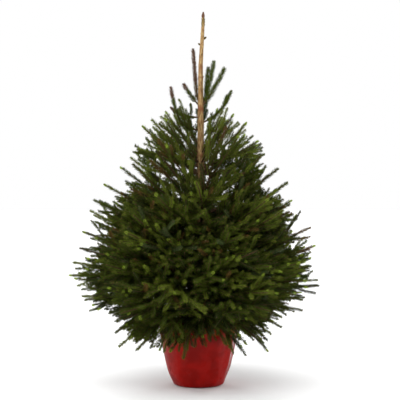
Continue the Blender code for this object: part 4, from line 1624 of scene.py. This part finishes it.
@dataclass
class Studio:
    """A white acrylic floor, soft boxes and a level camera at the plant's mid height."""

    camera_place: tuple[float, float, float] = (0.0056, -3.8, 0.692)
    lens: float = 90.9
    sensor: float = 36.0
    floor_radius: float = 60.0
    floor_sides: int = 96
    floor_drop: float = 0.0002
    # Strength of the sky's light level with the plant, overhead, and added from behind.
    sky_low: float = 0.15
    sky_high: float = 0.60
    backdrop: float = 0.80
    boxes: tuple[SoftBox, ...] = (
        SoftBox("key", (-1.4, -2.6, 2.4), 1.4, 1.4, 38),
        SoftBox("left_strip", (-2.0, -1.1, 0.75), 0.30, 1.5, 20),
        SoftBox("right_strip", (1.9, -0.6, 0.75), 0.30, 1.5, 20),
    )
    aim: tuple[float, float, float] = (0.0, 0.0, 0.45)
    overhead: float = 2.6
    overhead_spread: float = 70
    overhead_tilt: tuple[float, float] = (18, -8)
    # The wash over the floor: its strength, how many lamps throw it, and their height and spread in degrees.
    wash: float = 0.95
    wash_count: int = 6
    wash_rise: float = 14.0
    wash_spread: float = 24
    # The share by which the lamps behind the plant are stronger and those before it weaker.
    wash_behind: float = 0.75

    def build(self) -> None:
        """Sets up the floor, the light and the camera."""
        floor = self.add_floor()
        unlit = self.group("floor_unlit", floor)
        unlit.collection_objects[0].light_linking.link_state = "EXCLUDE"
        self.add_sky()
        tilt = [math.radians(degrees) for degrees in self.overhead_tilt]
        self.add_sun("overhead", self.overhead, self.overhead_spread, (*tilt, 0.0))
        for box in self.boxes:
            self.add_softbox(box, unlit)
        self.add_floor_wash(self.group("washed_floor", floor))
        self.add_camera()
        view = bpy.context.scene.view_settings
        view.view_transform = "Standard"
        view.look = "None"

    def add_floor(self) -> bpy.types.Object:
        """Lays the round floor just under the pot's foot.

        Returns:
            The floor.
        """
        turn = full_turn(self.floor_sides)
        rim = np.stack((np.cos(turn), np.sin(turn), 0 * turn), axis=-1) * self.floor_radius
        mesh = bpy.data.meshes.new("floor")
        mesh.from_pydata((rim - (0, 0, self.floor_drop)).tolist(), [], [tuple(range(self.floor_sides))])
        mesh.materials.append(OpalAcrylic().material())
        floor = bpy.data.objects.new("floor", mesh)
        bpy.context.scene.collection.objects.link(floor)
        return floor

    @staticmethod
    def group(name: str, obj: bpy.types.Object) -> bpy.types.Collection:
        """Puts one object in a group of its own, which lamps can be kept to or from.

        Args:
            name: The group's name.
            obj: The object.

        Returns:
            The group.
        """
        made = bpy.data.collections.new(name)
        made.objects.link(obj)
        return made

    def add_sky(self) -> None:
        """Wraps the studio in white that is seen full, and lights most from above and from the backdrop."""
        world = bpy.data.worlds.new("studio")
        bpy.context.scene.world = world
        world.use_nodes = True
        tree = world.node_tree
        seen = tree.nodes["Background"]
        seen.inputs["Color"].default_value = linear("#ffffff")
        seen.inputs["Strength"].default_value = 1.0
        place = add_node(tree, "ShaderNodeTexCoord").outputs["Generated"]
        parts = add_node(tree, "ShaderNodeSeparateXYZ", links={"Vector": place})
        upward = {"From Min": 0.0, "From Max": 1.0, "To Min": self.sky_low, "To Max": self.sky_high}
        rise = add_node(tree, "ShaderNodeMapRange", upward, {"Value": parts.outputs["Z"]})
        backward = {"From Min": 0.1, "From Max": 0.9, "To Min": 0.0, "To Max": self.backdrop}
        behind = add_node(tree, "ShaderNodeMapRange", backward, {"Value": parts.outputs["Y"]})
        terms = {0: rise.outputs["Result"], 1: behind.outputs["Result"]}
        both = add_node(tree, "ShaderNodeMath", {"operation": "ADD"}, terms)
        lit = add_node(tree, "ShaderNodeBackground", links={"Strength": both.outputs["Value"]})
        ray = add_node(tree, "ShaderNodeLightPath").outputs["Is Camera Ray"]
        skies = {0: ray, 1: lit.outputs["Background"], 2: seen.outputs["Background"]}
        mixed = add_node(tree, "ShaderNodeMixShader", links=skies)
        tree.links.new(mixed.outputs["Shader"], tree.nodes["World Output"].inputs["Surface"])

    def add_sun(self, name: str, strength: float, spread: float,
                turn: tuple[float, float, float]) -> bpy.types.Object:
        """Adds a broad light from one side.

        Args:
            name: Its name.
            strength: Its strength.
            spread: Its angle as seen from the plant, in degrees, which softens its shadows.
            turn: Its rotation, in radians.

        Returns:
            The lamp.
        """
        light = bpy.data.lights.new(name, "SUN")
        light.energy = strength
        light.angle = math.radians(spread)
        lamp = bpy.data.objects.new(name, light)
        lamp.rotation_euler = turn
        bpy.context.scene.collection.objects.link(lamp)
        return lamp

    def add_floor_wash(self, washed: bpy.types.Collection) -> None:
        """Rakes the floor alone with low broad light from all round, which leaves a narrow contact shadow.

        Args:
            washed: The group that the light is kept to.
        """
        for side in range(self.wash_count):
            turn = math.tau * (side + 0.5) / self.wash_count
            strength = self.wash * (1 - self.wash_behind * math.cos(turn))
            tilt = (math.radians(90 - self.wash_rise), 0.0, turn)
            lamp = self.add_sun(f"floor_wash_{side + 1}", strength, self.wash_spread, tilt)
            lamp.light_linking.receiver_collection = washed

    def add_softbox(self, box: SoftBox, unlit: bpy.types.Collection) -> None:
        """Hangs a soft box that faces the crown.

        Args:
            box: Its sizes.
            unlit: The group that its light is kept from.
        """
        light = bpy.data.lights.new(box.name, "AREA")
        light.shape = "RECTANGLE"
        light.size = box.width
        light.size_y = box.height
        light.energy = box.watts
        lamp = bpy.data.objects.new(box.name, light)
        lamp.location = box.place
        aim = Vector(self.aim) - Vector(box.place)
        lamp.rotation_euler = aim.to_track_quat("-Z", "Y").to_euler()
        bpy.context.scene.collection.objects.link(lamp)
        lamp.light_linking.receiver_collection = unlit

    def add_camera(self) -> None:
        """Stands the camera level in front of the plant."""
        lens = bpy.data.cameras.new("camera")
        lens.lens = self.lens
        lens.sensor_width = self.sensor
        camera = bpy.data.objects.new("camera", lens)
        camera.location = self.camera_place
        camera.rotation_euler = (math.pi / 2, 0.0, 0.0)
        bpy.context.scene.collection.objects.link(camera)
        bpy.context.scene.camera = camera


def main() -> None:
    """Builds the studio, the pot, the trunk and the crown, in that order."""
    logging.basicConfig(level=logging.INFO, format="%(name)s: %(message)s")
    Studio().build()
    pot, trunk = Pot(), Trunk()
    pot.build(PotPolypropylene().material())
    Compost(pot).build(BarkCompost().material())
    trunk.build(LeaderBark().material())
    Crown(trunk, pot).build()


if __name__ == "__main__":
    main()
